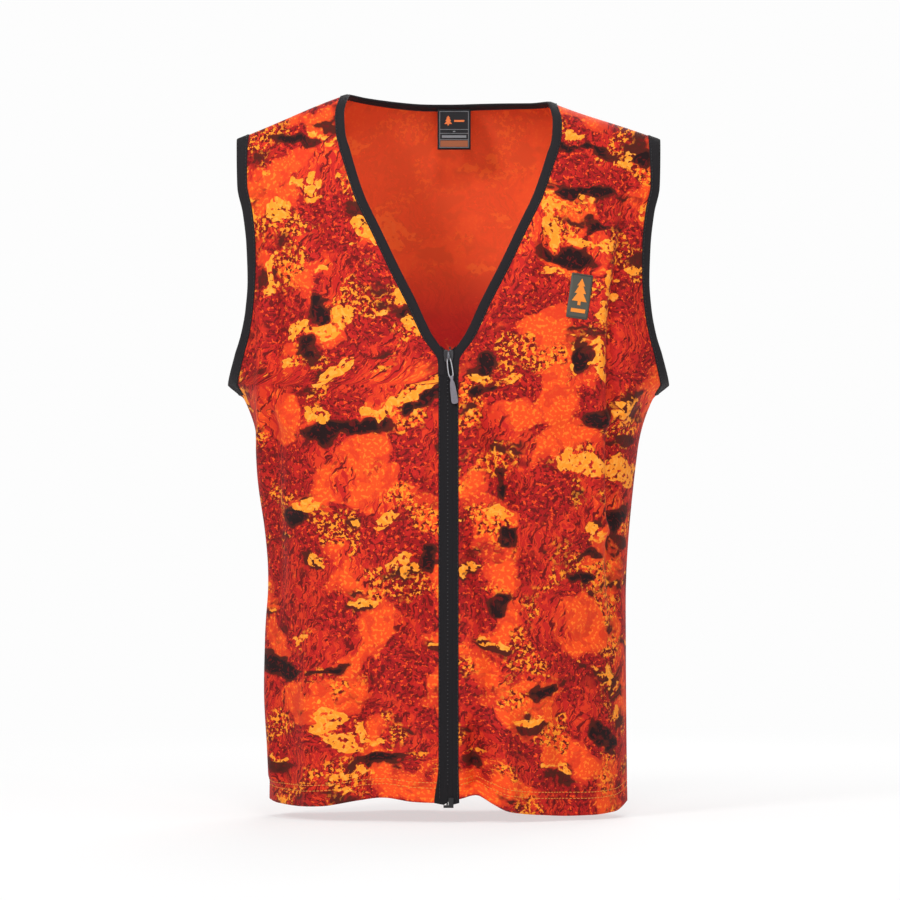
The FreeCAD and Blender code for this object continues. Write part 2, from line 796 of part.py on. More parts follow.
def make_slider():
    """Two plates joined by a wedge at the top, with lips that leave a slot for each tape."""
    thick = "( slider_channel + 2 * slider_plate )"
    body = box(
        "slider_block",
        ("slider_width", thick, "slider_length"),
        ("0 - slider_width / 2", f"{ZIP_CENTRE} - {thick} / 2", FOOT_RULE),
    )
    channel = box(
        "slider_channel_room",
        ("slider_width - 2 * slider_lip", "slider_channel", f"slider_length * {WEDGE_START} + 1"),
        (
            "0 - slider_width / 2 + slider_lip",
            f"{ZIP_CENTRE} - slider_channel / 2",
            f"{FOOT_RULE} - 1",
        ),
    )
    arms = []
    for hand, corner in (("left", "wedge_width / 2"), ("right", "0 - slider_width / 2 + slider_lip")):
        arms.append(
            box(
                f"slider_{hand}_arm_room",
                ("slider_width / 2 - slider_lip - wedge_width / 2", "slider_channel", "slider_length"),
                (corner, f"{ZIP_CENTRE} - slider_channel / 2", FOOT_RULE),
            )
        )
    slot = box(
        "slider_tape_slot",
        ("slider_width + 2", "tape_slot", "slider_length + 2"),
        ("0 - slider_width / 2 - 1", f"{ZIP_CENTRE} - tape_slot / 2", f"{FOOT_RULE} - 1"),
    )
    wedge = box(
        "slider_wedge",
        ("wedge_width", "slider_channel", f"slider_length * {1 - WEDGE_START}"),
        (
            "0 - wedge_width / 2",
            f"{ZIP_CENTRE} - slider_channel / 2",
            f"{FOOT_RULE} + slider_length * {WEDGE_START}",
        ),
    )
    rooms = joined("slider_rooms", "MultiFuse", [channel, slot] + arms)
    hollow = joined("slider_hollow", "Cut", [body, rooms])
    joined("zip_slider_body", "MultiFuse", [hollow, wedge])
    front = "( slider_channel / 2 + slider_plate )"
    crown = box(
        "crown_block",
        ("crown_width", "crown_depth", f"slider_length * {CROWN_SHARE}"),
        (
            "0 - crown_width / 2",
            f"{ZIP_CENTRE} - {front} - crown_depth",
            f"{FOOT_RULE} + slider_length * {(1 - CROWN_SHARE) / 2}",
        ),
    )
    gap = box(
        "crown_gap",
        ("crown_width + 2", "crown_depth", f"slider_length * {CROWN_SHARE} - 2 * crown_bar"),
        (
            "0 - crown_width / 2 - 1",
            f"{ZIP_CENTRE} - {front} - crown_depth + crown_bar",
            f"{FOOT_RULE} + slider_length * {(1 - CROWN_SHARE) / 2} + crown_bar",
        ),
    )
    joined("slider_crown", "Cut", [crown, gap])


def link_top():
    """Centre of the link's upper bar, resting low in the crown's gap."""
    crown_foot = SLIDER_FOOT + SIZE["slider_length"] * (1 - CROWN_SHARE) / 2
    gap_foot = crown_foot + SIZE["crown_bar"]
    front = SIZE["slider_channel"] / 2 + SIZE["slider_plate"]
    room = SIZE["crown_depth"] - SIZE["crown_bar"]
    return Vector(0, ZIP_Y - front - room / 2, gap_foot + SIZE["link_wire"] / 2 + SIZE["link_play"])


def make_link():
    """Wire loop with rounded corners; its top bar lies in the crown, its foot bar in the tab."""
    half = (SIZE["link_width"] - SIZE["link_wire"]) / 2
    drop = SIZE["link_length"] - SIZE["link_wire"]
    corner = SIZE["link_corner"]
    bend = corner * (1 - math.sqrt(0.5))
    edges = []
    for across, high, turn in ((1, 0, 0), (1, -drop, 1), (-1, -drop, 2), (-1, 0, 3)):
        inward_z = -1 if high == 0 else 1
        level = Vector(across * (half - corner), 0, high)
        upright = Vector(across * half, 0, high + inward_z * corner)
        middle = Vector(across * (half - bend), 0, high + inward_z * bend)
        ends = (level, upright) if turn % 2 == 0 else (upright, level)
        edges.append(Part.Arc(ends[0], middle, ends[1]).toShape())
    sides = []
    for first, following in zip(edges, edges[1:] + edges[:1]):
        start = first.Vertexes[-1].Point
        end = following.Vertexes[0].Point
        sides.append(Part.LineSegment(start, end).toShape())
    path = Part.Wire([edge for pair in zip(edges, sides) for edge in pair])
    start = edges[0].Vertexes[0].Point
    circle = Part.Wire(Part.makeCircle(SIZE["link_wire"] / 2, start, Vector(1, 0, 0)))
    link = cloth_feature("pull_link", path.makePipeShell([circle], True, False))
    lean = FreeCAD.Rotation(Vector(0, 1, 0), -SIZE["pull_lean"])
    link.Placement = FreeCAD.Placement(link_top(), lean)


def tab_sketch(body, name, role):
    plane = [f for f in body.Origin.OriginFeatures if f.Role == role][0]
    outline = body.newObject("Sketcher::SketchObject", name)
    outline.AttachmentSupport = [(plane, "")]
    outline.MapMode = "FlatFace"
    return outline


def make_tab():
    """Moulded tab that widens downwards, with a neck and an eye round the link's foot bar."""
    body = doc.addObject("PartDesign::Body", "pull_tab")
    body.Label = "pull_tab"
    outline = tab_sketch(body, "tab_outline", "XZ_Plane")
    top_half = SIZE["tab_top_width"] / 2
    end_half = SIZE["tab_end_width"] / 2
    neck_half = SIZE["tab_neck_width"] / 2
    top = SIZE["tab_thickness"] / 2
    neck_foot = -SIZE["tab_neck_length"]
    foot = top - SIZE["tab_length"]
    chamfer = end_half / 2
    corners = [
        (-neck_half, top),
        (neck_half, top),
        (neck_half, neck_foot),
        (top_half, neck_foot - NECK_LAP),
        (end_half, foot + chamfer),
        (end_half - chamfer, foot),
        (chamfer - end_half, foot),
        (-end_half, foot + chamfer),
        (-top_half, neck_foot - NECK_LAP),
        (-neck_half, neck_foot),
    ]
    for start, end in zip(corners, corners[1:] + corners[:1]):
        outline.addGeometry(Part.LineSegment(Vector(*start, 0), Vector(*end, 0)), False)
    pad = body.newObject("PartDesign::Pad", "tab_pad")
    pad.Profile = outline
    pad.Midplane = True
    pad.setExpression("Length", "<<Sizes>>.tab_thickness")
    eye_outline = tab_sketch(body, "tab_eye_outline", "YZ_Plane")
    radius = SIZE["link_wire"] / 2 + SIZE["tab_eye_clearance"]
    eye_outline.addGeometry(Part.Circle(Vector(0, 0, 0), Vector(0, 0, 1), radius), False)
    doc.recompute()
    eye = body.newObject("PartDesign::Pocket", "tab_eye")
    eye.Profile = eye_outline
    eye.Midplane = True
    eye.setExpression("Length", "<<Sizes>>.tab_neck_width * 2")
    body.Tip = eye
    lean = FreeCAD.Rotation(Vector(0, 1, 0), -SIZE["pull_lean"])
    hang = lean.multVec(Vector(0, 0, SIZE["link_wire"] - SIZE["link_length"]))
    body.Placement = FreeCAD.Placement(link_top() + hang, lean)


# --- build, check and write --------------------------------------------------------------------

NODES = [
    "back_panel",
    "front_left_panel",
    "front_right_panel",
    "neck_binding_back",
    "neck_binding_left",
    "neck_binding_right",
    "armhole_binding_left",
    "armhole_binding_right",
    "hem_topstitch_back",
    "hem_topstitch_left",
    "hem_topstitch_right",
    "neck_label",
    "chest_patch",
    "zip_tape_left",
    "zip_tape_right",
    "zip_teeth_left",
    "zip_teeth_right",
    "zip_top_stop",
    "zip_retainer_pin",
    "zip_insertion_pin",
    "zip_retainer_box",
    "zip_slider_body",
    "slider_crown",
    "pull_link",
    "pull_tab",
]


def check_document():
    for piece in doc.Objects:
        if "Invalid" in piece.State or "Error" in piece.State:
            raise RuntimeError(f"{piece.Label} did not compute: {piece.State}")
    for name in NODES:
        shape = doc.getObjectsByLabel(name)[0].Shape
        if shape.isNull() or not shape.isValid() or not shape.Solids:
            raise RuntimeError(f"{name} has no valid shape")


def write_steps():
    os.makedirs("parts", exist_ok=True)
    for name in NODES:
        doc.getObjectsByLabel(name)[0].Shape.exportStep(f"parts/{name}.step")


make_cloth()
make_label()
make_patch()
make_tapes()
make_teeth()
make_stops_and_ends()
make_slider()
make_link()
make_tab()
doc.recompute()
check_document()
write_steps()
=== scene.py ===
"""Looks of a blaze orange camouflage vest: cloth, bindings, zip, label and stitching.

Every length is in metres, in the frame's own axes: +X to the wearer's left, +Y to the back, +Z up.
"""

import math

import bmesh
import bpy
import numpy as np
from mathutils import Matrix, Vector


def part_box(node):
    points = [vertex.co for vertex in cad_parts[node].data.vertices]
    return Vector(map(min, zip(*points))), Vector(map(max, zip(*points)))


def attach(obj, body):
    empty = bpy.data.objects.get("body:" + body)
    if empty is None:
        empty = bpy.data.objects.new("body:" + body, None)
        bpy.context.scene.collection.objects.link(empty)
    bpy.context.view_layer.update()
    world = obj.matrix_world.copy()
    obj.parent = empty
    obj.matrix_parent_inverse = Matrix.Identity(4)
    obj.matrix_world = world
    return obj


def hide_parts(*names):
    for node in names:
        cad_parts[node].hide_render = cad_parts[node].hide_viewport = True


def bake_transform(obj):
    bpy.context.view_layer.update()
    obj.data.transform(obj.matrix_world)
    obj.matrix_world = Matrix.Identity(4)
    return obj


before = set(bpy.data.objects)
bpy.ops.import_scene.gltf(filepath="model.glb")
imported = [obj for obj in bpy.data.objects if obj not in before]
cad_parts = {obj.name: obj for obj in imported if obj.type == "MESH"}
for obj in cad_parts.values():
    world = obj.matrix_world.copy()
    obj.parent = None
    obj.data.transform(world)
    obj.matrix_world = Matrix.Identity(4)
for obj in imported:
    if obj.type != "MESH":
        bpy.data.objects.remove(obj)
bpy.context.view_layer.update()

RIGHT_ANGLE = math.pi / 2

# --- sizes read from the frame -----------------------------------------------------------------

CAD_CLOTH = 0.0016
CAD_BINDING = 0.003
NECK_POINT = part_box("neck_binding_back")[1].z - CAD_BINDING / 2
SEAM_Y = (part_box("front_left_panel")[1].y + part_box("back_panel")[0].y) / 2
TAPE_LOW, TAPE_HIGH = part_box("zip_tape_left")
ZIP_Y = (TAPE_LOW.y + TAPE_HIGH.y) / 2
SLIDER_LOW, SLIDER_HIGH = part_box("zip_slider_body")
FRONT_DEPTH = SEAM_Y - ZIP_Y
BACK_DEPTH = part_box("back_panel")[1].y - SEAM_Y - CAD_CLOTH / 2
NECK_BOTTOM = SLIDER_HIGH.z + 0.0015
ARMPIT = 0.437
YOKE = NECK_POINT - ARMPIT
ARMPIT_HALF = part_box("armhole_binding_left")[1].x - 0.0012

# --- outline of the garment --------------------------------------------------------------------

SHOULDER_TIP = 0.687
SHOULDER_HALF = 0.214
NECK_HALF = 0.104
ARMHOLE_ROUND = 0.050
ARMHOLE_NARROWING = 0.0123
ARMHOLE_FORWARD = 0.37
BACK_NECK_DEPTH = 0.046
FRONT_CREST = 2.2
BACK_CREST = 5.0
NECK_FOOT = NECK_BOTTOM - 0.0115
BINDING_WIDTH = 0.011
CLOTH = 0.0009
HEM_HIGH = 0.0265
HEM_FOLD = 0.0020
HEM_ROWS = (0.0178, 0.0242)
SEAM_PINCH = 0.0011
TOOTH_PITCH = 0.0039
BINDING_CUT = 0.026
NECK_BINDING_WIDTH = 0.0088
NECK_BINDING_SHIFT = 0.0028
BINDING_FOOT_HALF = 0.0062
BACK_BINDING_WIDTH = 0.0115
BACK_NECK_LIFT = 0.0065
NECK_STATIONS = 81
STITCH_REACH = 0.86
CRESTS = {"front": (NECK_BOTTOM, FRONT_CREST), "back": (ARMPIT, BACK_CREST)}
SIGNS = {"left": 1, "right": -1}
CELL = 0.0034

TORSO_WIDTHS = [
    (0.0, 0.1815), (0.215, 0.180), (0.372, 0.192), (0.422, 0.207), (ARMPIT, ARMPIT_HALF),
]
BACK_DEPTHS = [(0.0, 0.108), (0.215, 0.101), (0.372, BACK_DEPTH), (NECK_POINT, BACK_DEPTH)]
NECK_CURVE = [
    (0.000, 0.010), (0.030, 0.070), (0.090, 0.190), (0.220, 0.350), (0.350, 0.520), (0.490, 0.692),
    (0.620, 0.850), (0.770, 0.976), (0.860, 1.035), (0.930, 1.044), (1.000, 1.000),
]
ARMHOLE_CURVE = [
    (0.000, 1.90), (0.032, 1.70), (0.116, 1.10), (0.200, 0.55), (0.300, 0.17), (0.410, 0.00),
    (0.550, 0.10), (0.690, 0.42), (0.800, 0.88), (1.000, 1.00),
]
# Height of the hanging hem above the floor, by distance from the centre line.
HEM_WAVE = [
    (-0.190, 0.018), (-0.150, 0.014), (-0.125, 0.015), (-0.090, 0.022), (-0.064, 0.025),
    (-0.035, 0.021), (-0.012, 0.020), (0.012, 0.024), (0.028, 0.028), (0.042, 0.020),
    (0.060, 0.011), (0.090, 0.007), (0.145, 0.005), (0.168, 0.007), (0.190, 0.016),
]
HEM_LIFT_HEIGHT = 0.22


def curve(points):
    """Smooth function through (position, value) points that never overshoots between them."""
    xs, ys = np.array(points, float).T
    slopes = np.diff(ys) / np.diff(xs)
    tangents = np.empty_like(ys)
    tangents[0], tangents[-1] = slopes[0], slopes[-1]
    product = slopes[:-1] * slopes[1:]
    total = slopes[:-1] + slopes[1:]
    tangents[1:-1] = np.where(product > 0, 2 * product / np.where(total == 0, 1, total), 0)

    def value(at):
        at = np.clip(at, xs[0], xs[-1])
        i = np.clip(np.searchsorted(xs, at, side="right") - 1, 0, len(xs) - 2)
        span = xs[i + 1] - xs[i]
        t = (at - xs[i]) / span
        base = ys[i] * (1 + 2 * t) * (1 - t) ** 2 + ys[i + 1] * t * t * (3 - 2 * t)
        return base + span * (tangents[i] * t * (1 - t) ** 2 + tangents[i + 1] * t * t * (t - 1))

    return value


torso_width = curve(TORSO_WIDTHS)
back_depth = curve(BACK_DEPTHS)
neck_curve = curve(NECK_CURVE)
armhole_curve = curve(ARMHOLE_CURVE)
hem_wave = curve(HEM_WAVE)


def ramp(value, low, high):
    """0 below low, 1 above high, and an even S between."""
    t = np.clip((value - low) / (high - low), 0, 1)
    return t * t * (3 - 2 * t)


def unit(vectors):
    """Vectors of length 1 in the same directions."""
    return vectors / np.maximum(np.linalg.norm(vectors, axis=-1, keepdims=True), 1e-12)


def shoulder_height(x):
    fall = NECK_POINT - SHOULDER_TIP
    beyond = np.maximum(0.0, np.abs(x) - NECK_HALF)
    return NECK_POINT - fall * beyond / (SHOULDER_HALF - NECK_HALF)


def armhole_forward(high):
    t = np.clip((high - ARMPIT) / ARMHOLE_ROUND, 0, 1)
    return ARMHOLE_FORWARD * np.sqrt(1 - (1 - t) ** 2)


def armhole_half_width(high):
    reach = armhole_curve((high - ARMPIT) / YOKE)
    inside = SHOULDER_HALF - ARMHOLE_NARROWING * (1 - reach)
    outside = SHOULDER_HALF + (reach - 1) / 0.9 * (ARMPIT_HALF - SHOULDER_HALF)
    return np.where(reach <= 1, inside, outside)


def section_half_width(high):
    upper = armhole_half_width(high) / np.sqrt(1 - armhole_forward(high) ** 2)
    return np.where(high <= ARMPIT, torso_width(high), upper)


def crest(high, start, exponent):
    share = np.clip((high - start) / (NECK_POINT - start), 0, 1)
    return np.sqrt(np.maximum(0, 1 - share**exponent))


def depth(side, high):
    full = FRONT_DEPTH if side == "front" else back_depth(high)
    return full * crest(high, *CRESTS[side])


def garment(side, angle, high):
    """Points of the smooth garment, from the angle round the body and the height at the neck."""
    x = section_half_width(high) * np.sin(angle)
    share = np.clip((high - ARMPIT) / YOKE, 0, 1)
    z = np.where(high > ARMPIT, ARMPIT + share * (shoulder_height(x) - ARMPIT), high)
    out = depth(side, high) * np.cos(angle)
    y = SEAM_Y - out if side == "front" else SEAM_Y + out
    return np.stack([x, y, z], axis=-1)


# --- folds -------------------------------------------------------------------------------------

class Lattice:
    """Smooth random field over a plane, from a seeded lattice of values."""

    def __init__(self, seed):
        self.values = np.random.RandomState(seed).uniform(-1, 1, (64, 64))

    def at(self, u, v):
        i, j = np.floor(u).astype(int), np.floor(v).astype(int)
        s, t = u - i, v - j
        s, t = s * s * (3 - 2 * s), t * t * (3 - 2 * t)
        grid = self.values
        low = grid[i % 64, j % 64] * (1 - s) + grid[(i + 1) % 64, j % 64] * s
        high = grid[i % 64, (j + 1) % 64] * (1 - s) + grid[(i + 1) % 64, (j + 1) % 64] * s
        return low * (1 - t) + high * t


# A crease of a side is a path over (x, z), its height out of the cloth (negative is a valley) and
# its width.
CREASES = {
    "front": [
        ([
            (-0.189, 0.690), (-0.184, 0.637), (-0.186, 0.522), (-0.187, 0.371), (-0.181, 0.179),
            (-0.173, 0.030),
        ], 0.0032, 0.007),
        ([(-0.176, 0.600), (-0.176, 0.480), (-0.176, 0.371), (-0.171, 0.179)], -0.0028, 0.009),
        ([
            (0.186, 0.690), (0.182, 0.642), (0.172, 0.570), (0.163, 0.513), (0.161, 0.473),
            (0.160, 0.422), (0.162, 0.341), (0.166, 0.258), (0.170, 0.150),
        ], -0.0034, 0.006),
        ([
            (0.172, 0.642), (0.160, 0.570), (0.151, 0.513), (0.148, 0.422), (0.151, 0.341),
            (0.156, 0.250),
        ], 0.0030, 0.009),
        ([(0.012, 0.430), (0.030, 0.350), (0.058, 0.270), (0.080, 0.220)], 0.0042, 0.011),
        ([(0.028, 0.440), (0.052, 0.360), (0.088, 0.300)], -0.0040, 0.010),
        ([(0.014, 0.330), (0.030, 0.250), (0.044, 0.170), (0.048, 0.080)], -0.0040, 0.011),
        ([(0.040, 0.470), (0.075, 0.420), (0.118, 0.390)], 0.0030, 0.012),
        ([(0.022, 0.120), (0.026, 0.060), (0.028, 0.018)], -0.0070, 0.010),
        ([(0.052, 0.150), (0.056, 0.070), (0.060, 0.012)], 0.0060, 0.012),
        ([(-0.016, 0.400), (-0.034, 0.330), (-0.052, 0.250), (-0.060, 0.160)], 0.0032, 0.012),
        ([(-0.024, 0.300), (-0.030, 0.180), (-0.034, 0.060)], -0.0034, 0.012),
        ([(-0.088, 0.200), (-0.092, 0.100), (-0.094, 0.020)], -0.0042, 0.014),
        ([(-0.130, 0.240), (-0.134, 0.120), (-0.136, 0.015)], 0.0044, 0.014),
        ([(-0.192, 0.440), (-0.160, 0.400), (-0.120, 0.385)], 0.0034, 0.010),
        ([(0.022, 0.405), (0.036, 0.320), (0.060, 0.230)], -0.0026, 0.013),
        ([(-0.176, 0.330), (-0.140, 0.312), (-0.104, 0.318)], 0.0024, 0.009),
        ([(0.176, 0.300), (0.146, 0.286), (0.112, 0.290)], 0.0024, 0.009),
        ([(0.160, 0.200), (0.132, 0.182), (0.100, 0.186)], -0.0022, 0.010),
        ([(0.060, 0.480), (0.084, 0.560), (0.098, 0.640)], 0.0020, 0.010),
        ([(-0.060, 0.490), (-0.086, 0.570), (-0.098, 0.650)], 0.0020, 0.010),
        ([(0.192, 0.440), (0.165, 0.405), (0.130, 0.395)], 0.0034, 0.010),
        ([(-0.150, 0.640), (-0.130, 0.560), (-0.110, 0.500)], -0.0022, 0.014),
        ([(0.112, 0.180), (0.118, 0.090), (0.120, 0.010)], -0.0040, 0.016),
    ],
    "back": [
        ([(-0.190, 0.430), (-0.150, 0.400), (-0.095, 0.390), (-0.040, 0.396)], 0.0036, 0.012),
        ([(0.190, 0.425), (0.150, 0.392), (0.098, 0.378), (0.050, 0.380)], 0.0036, 0.012),
        ([(-0.150, 0.330), (-0.090, 0.300), (-0.030, 0.290)], 0.0034, 0.014),
        ([(0.140, 0.290), (0.080, 0.255), (0.020, 0.245)], 0.0034, 0.014),
        ([(-0.120, 0.250), (-0.124, 0.120), (-0.126, 0.010)], -0.0050, 0.016),
        ([(-0.062, 0.200), (-0.058, 0.100), (-0.056, 0.010)], 0.0052, 0.016),
        ([(0.006, 0.260), (0.004, 0.120), (0.002, 0.010)], -0.0046, 0.016),
        ([(0.070, 0.220), (0.074, 0.100), (0.076, 0.010)], 0.0052, 0.016),
        ([(0.132, 0.250), (0.134, 0.120), (0.135, 0.010)], -0.0046, 0.016),
        ([(-0.140, 0.640), (-0.128, 0.560), (-0.132, 0.470)], -0.0026, 0.014),
        ([(0.142, 0.640), (0.130, 0.560), (0.134, 0.470)], -0.0026, 0.014),
    ],
}


def distance_along(path, x, z):
    """Distance of points from a path, and how far along it, from 0 to 1, they lie."""
    best = np.full(x.shape, 1e9)
    share = np.zeros(x.shape)
    points = np.array(path)
    spans = np.linalg.norm(np.diff(points, axis=0), axis=1)
    before = np.concatenate([[0], np.cumsum(spans)])
    for i, span in enumerate(spans):
        along = (points[i + 1] - points[i]) / span
        t = np.clip((x - points[i, 0]) * along[0] + (z - points[i, 1]) * along[1], 0, span)
        gap = np.hypot(x - points[i, 0] - t * along[0], z - points[i, 1] - t * along[1])
        nearer = gap < best
        best = np.where(nearer, gap, best)
        share = np.where(nearer, (before[i] + t) / before[-1], share)
    return best, share


BROAD = Lattice(3)
FINE = Lattice(8)
RAGGED = Lattice(15)
FOLD_GAIN = 2.1


def fold_height(side, x, z):
    """How far the cloth stands out of the smooth garment."""
    height = np.zeros(x.shape)
    for path, rise, width in CREASES[side]:
        gap, share = distance_along(path, x, z)
        fade = ramp(share, 0.0, 0.25) * (1 - ramp(share, 0.8, 1.0))
        if path[-1][1] < 0.04:
            fade = ramp(share, 0.0, 0.5)
        height += FOLD_GAIN * rise * fade * np.exp(-((gap / width) ** 2))
    shift = 0.0 if side == "front" else 31.0
    height += 0.0024 * BROAD.at(x * 13 + shift, z * 7 + shift)
    height += 0.0010 * FINE.at(x * 34 + shift, z * 17 + shift)
    calm = 1 - ramp(np.abs(z - SHOULDER_TIP), 0.0, 0.05)
    return height * (1 - 0.7 * calm)


def pinch(side, angle, high):
    """How far the cloth dips into its side and shoulder seams and under its hem stitches."""
    side_gap = (RIGHT_ANGLE - np.abs(angle)) * depth(side, high)
    dip = SEAM_PINCH * np.exp(-((side_gap / 0.0022) ** 2)) * (high < ARMPIT)
    shoulder_gap = depth(side, high) * np.cos(angle)
    dip = dip + SEAM_PINCH * np.exp(-((shoulder_gap / 0.0022) ** 2)) * (high > NECK_POINT - 0.02)
    for row in HEM_ROWS:
        dip = dip + 0.00035 * np.exp(-(((high - row) / 0.0014) ** 2))
    return dip


def edge_calm(side, angle, high):
    """0 on the zip, side seam, armhole and shoulder, where the cloth is held flat; 1 inside."""
    x = section_half_width(high) * np.sin(angle)
    calm = np.ones_like(x)
    if side == "front":
        calm = ramp(np.abs(x), 0.010, 0.026)
    edge = np.arccos(armhole_forward(high)) * section_half_width(high)
    calm = calm * ramp(edge - np.abs(angle) * section_half_width(high), 0.0, 0.02)
    return calm * (1 - ramp(high, NECK_POINT - 0.02, NECK_POINT))


def cloth(side, angle, high):
    """Points of the cloth's middle surface, with its folds and hanging hem."""
    angle, high = np.broadcast_arrays(np.asarray(angle, float), np.asarray(high, float))
    turn, rise = 0.003, 0.0008
    top = np.minimum(high + rise, NECK_POINT)
    across = garment(side, angle + turn, high) - garment(side, angle - turn, high)
    upward = garment(side, angle, top) - garment(side, angle, top - 2 * rise)
    normal = unit(np.cross(across, upward))
    if side == "back":
        normal = -normal
    point = garment(side, angle, high)
    x, z = point[..., 0], point[..., 2]
    out = fold_height(side, x, z) * edge_calm(side, angle, high) - pinch(side, angle, high)
    point = point + normal * out[..., None]
    low = (1 - np.clip(high / HEM_LIFT_HEIGHT, 0, 1)) ** 2
    wave = hem_wave(x) if side == "front" else hem_wave(x) * 0.35 + 0.009 + 0.004 * np.sin(x * 46)
    seam = ramp(np.abs(angle), 1.2, RIGHT_ANGLE)
    wave = wave * (1 - seam) + np.where(x < 0, 0.018, 0.016) * seam
    point[..., 2] += wave * low
    tilt = -0.036 * x * np.exp(-(((np.abs(x) - NECK_HALF) / 0.06) ** 2)) * ramp(z, 0.60, 0.72)
    point[..., 2] += tilt
    if side == "back":
        arch = np.maximum(0, 1 - (x / NECK_HALF) ** 2)
        point[..., 2] += BACK_NECK_LIFT * arch * ramp(high, 0.63, 0.715)
    return point


def chart(side, x, z):
    """Angle and height at the neck of a point of a panel seen from straight in front."""
    share = (z - ARMPIT) / (shoulder_height(x) - ARMPIT)
    high = np.where(z > ARMPIT, ARMPIT + share * YOKE, z)
    return np.arcsin(np.clip(x / section_half_width(high), -1, 1)), high


def cloth_normal(side, angle, high):
    turn, rise = 0.002, 0.0005
    low = np.clip(high, rise, NECK_POINT) - rise
    top = np.minimum(low + 2 * rise, NECK_POINT)
    across = cloth(side, angle + turn, high) - cloth(side, angle - turn, high)
    upward = cloth(side, angle, top) - cloth(side, angle, low)
    normal = unit(np.cross(across, upward))
    return -normal if side == "back" else normal


# --- materials ---------------------------------------------------------------------------------

def linear(red, green, blue):
    """Scene colour of a printed colour given in 0 to 255."""
    channels = []
    for value in (red, green, blue):
        share = value / 255
        channels.append(share / 12.92 if share <= 0.04045 else ((share + 0.055) / 1.055) ** 2.4)
    return (*channels, 1.0)


class Shader:
    """A material's node tree, with short calls for the nodes it is made of."""

    def __init__(self, name):
        self.material = bpy.data.materials.new(name)
        self.material.use_nodes = True
        self.tree = self.material.node_tree
        self.surface = self.tree.nodes["Principled BSDF"]

    def node(self, kind, inputs=(), **settings):
        made = self.tree.nodes.new(kind)
        for name, value in settings.items():
            setattr(made, name, value)
        for key, value in dict(inputs).items():
            self.put(made.inputs[key], value)
        return made

    def put(self, socket, value):
        if isinstance(value, bpy.types.NodeSocket):
            self.tree.links.new(value, socket)
        else:
            socket.default_value = value

    def set(self, **inputs):
        for key, value in inputs.items():
            self.put(self.surface.inputs[key.replace("_", " ")], value)

    def math(self, operation, first, second=0.0):
        made = self.node("ShaderNodeMath", {0: first, 1: second}, operation=operation)
        return made.outputs[0]

    def vector(self, operation, first, second):
        made = self.node("ShaderNodeVectorMath", {0: first, 1: second}, operation=operation)
        return made.outputs[0]

    def noise(self, where, scale, detail=2.0, roughness=0.5, stretch=None):
        if stretch:
            where = self.vector("MULTIPLY", where, stretch)
        made = self.node(
            "ShaderNodeTexNoise",
            {"Vector": where, "Scale": scale, "Detail": detail, "Roughness": roughness},
            noise_dimensions="3D",
        )
        return made.outputs["Fac"]

    def noise_colour(self, where, scale, detail=2.0):
        made = self.node("ShaderNodeTexNoise", {"Vector": where, "Scale": scale, "Detail": detail})
        return made.outputs["Color"]

    def step(self, value, at, soft=0.012):
        made = self.node(
            "ShaderNodeMapRange",
            {"Value": value, "From Min": at - soft, "From Max": at + soft},
            interpolation_type="SMOOTHSTEP",
        )
        return made.outputs["Result"]

    def mix(self, share, first, second):
        made = self.node("ShaderNodeMix", data_type="RGBA")
        self.put(made.inputs["Factor"], share)
        self.put(made.inputs[6], first)
        self.put(made.inputs[7], second)
        return made.outputs[2]

    def times(self, first, second):
        return self.math("MULTIPLY", first, second)

    def waves(self, where, scale, distortion, direction):
        made = self.node(
            "ShaderNodeTexWave",
            {"Vector": where, "Scale": scale, "Distortion": distortion, "Detail": 1.0},
            wave_type="BANDS",
            bands_direction=direction,
        )
        return made.outputs["Fac"]

    def place(self):
        return self.node("ShaderNodeTexCoord").outputs["Object"]

    def glow(self, colour):
        return self.node("ShaderNodeEmission", {"Color": colour}).outputs["Emission"]

    def output(self, value):
        last = next(n for n in self.tree.nodes if n.type == "OUTPUT_MATERIAL")
        self.put(last.inputs["Surface"], value)

    def flip(self, value):
        return self.math("SUBTRACT", 1.0, value)

    def streaks(self, where, turn, stretch, at):
        """Thin parallel strokes, turned by an angle and stretched along their length."""
        turned = self.node("ShaderNodeMapping", {"Vector": where, "Rotation": (0.0, 0.0, turn)})
        return self.step(self.noise(turned.outputs[0], 1.0, 2.0, 0.6, stretch), at, 0.025)

    def attribute(self, name):
        return self.node("ShaderNodeAttribute", attribute_name=name).outputs["Fac"]

    def flat_map(self):
        return self.node("ShaderNodeUVMap", uv_map="flat").outputs["UV"]

    def bump(self, height, strength, distance):
        made = self.node(
            "ShaderNodeBump", {"Height": height, "Strength": strength, "Distance": distance}
        )
        self.set(Normal=made.outputs["Normal"])


ORANGE = linear(240, 76, 28)
LIGHT_ORANGE = linear(252, 124, 38)
BRICK = linear(214, 54, 28)
RED = linear(190, 34, 28)
DEEP_RED = linear(156, 22, 24)
MAROON = linear(104, 18, 18)
YELLOW = linear(252, 146, 38)
PALE_YELLOW = linear(253, 164, 62)
BROWN = linear(80, 28, 19)
BLACK_BROWN = linear(34, 16, 17)
LINING = linear(255, 94, 50)
# Painted shade: the inner face darkened to red low down, where the inside of the garment lies in
# shade.
PAINTED_SHADE_LINING = linear(216, 52, 50)


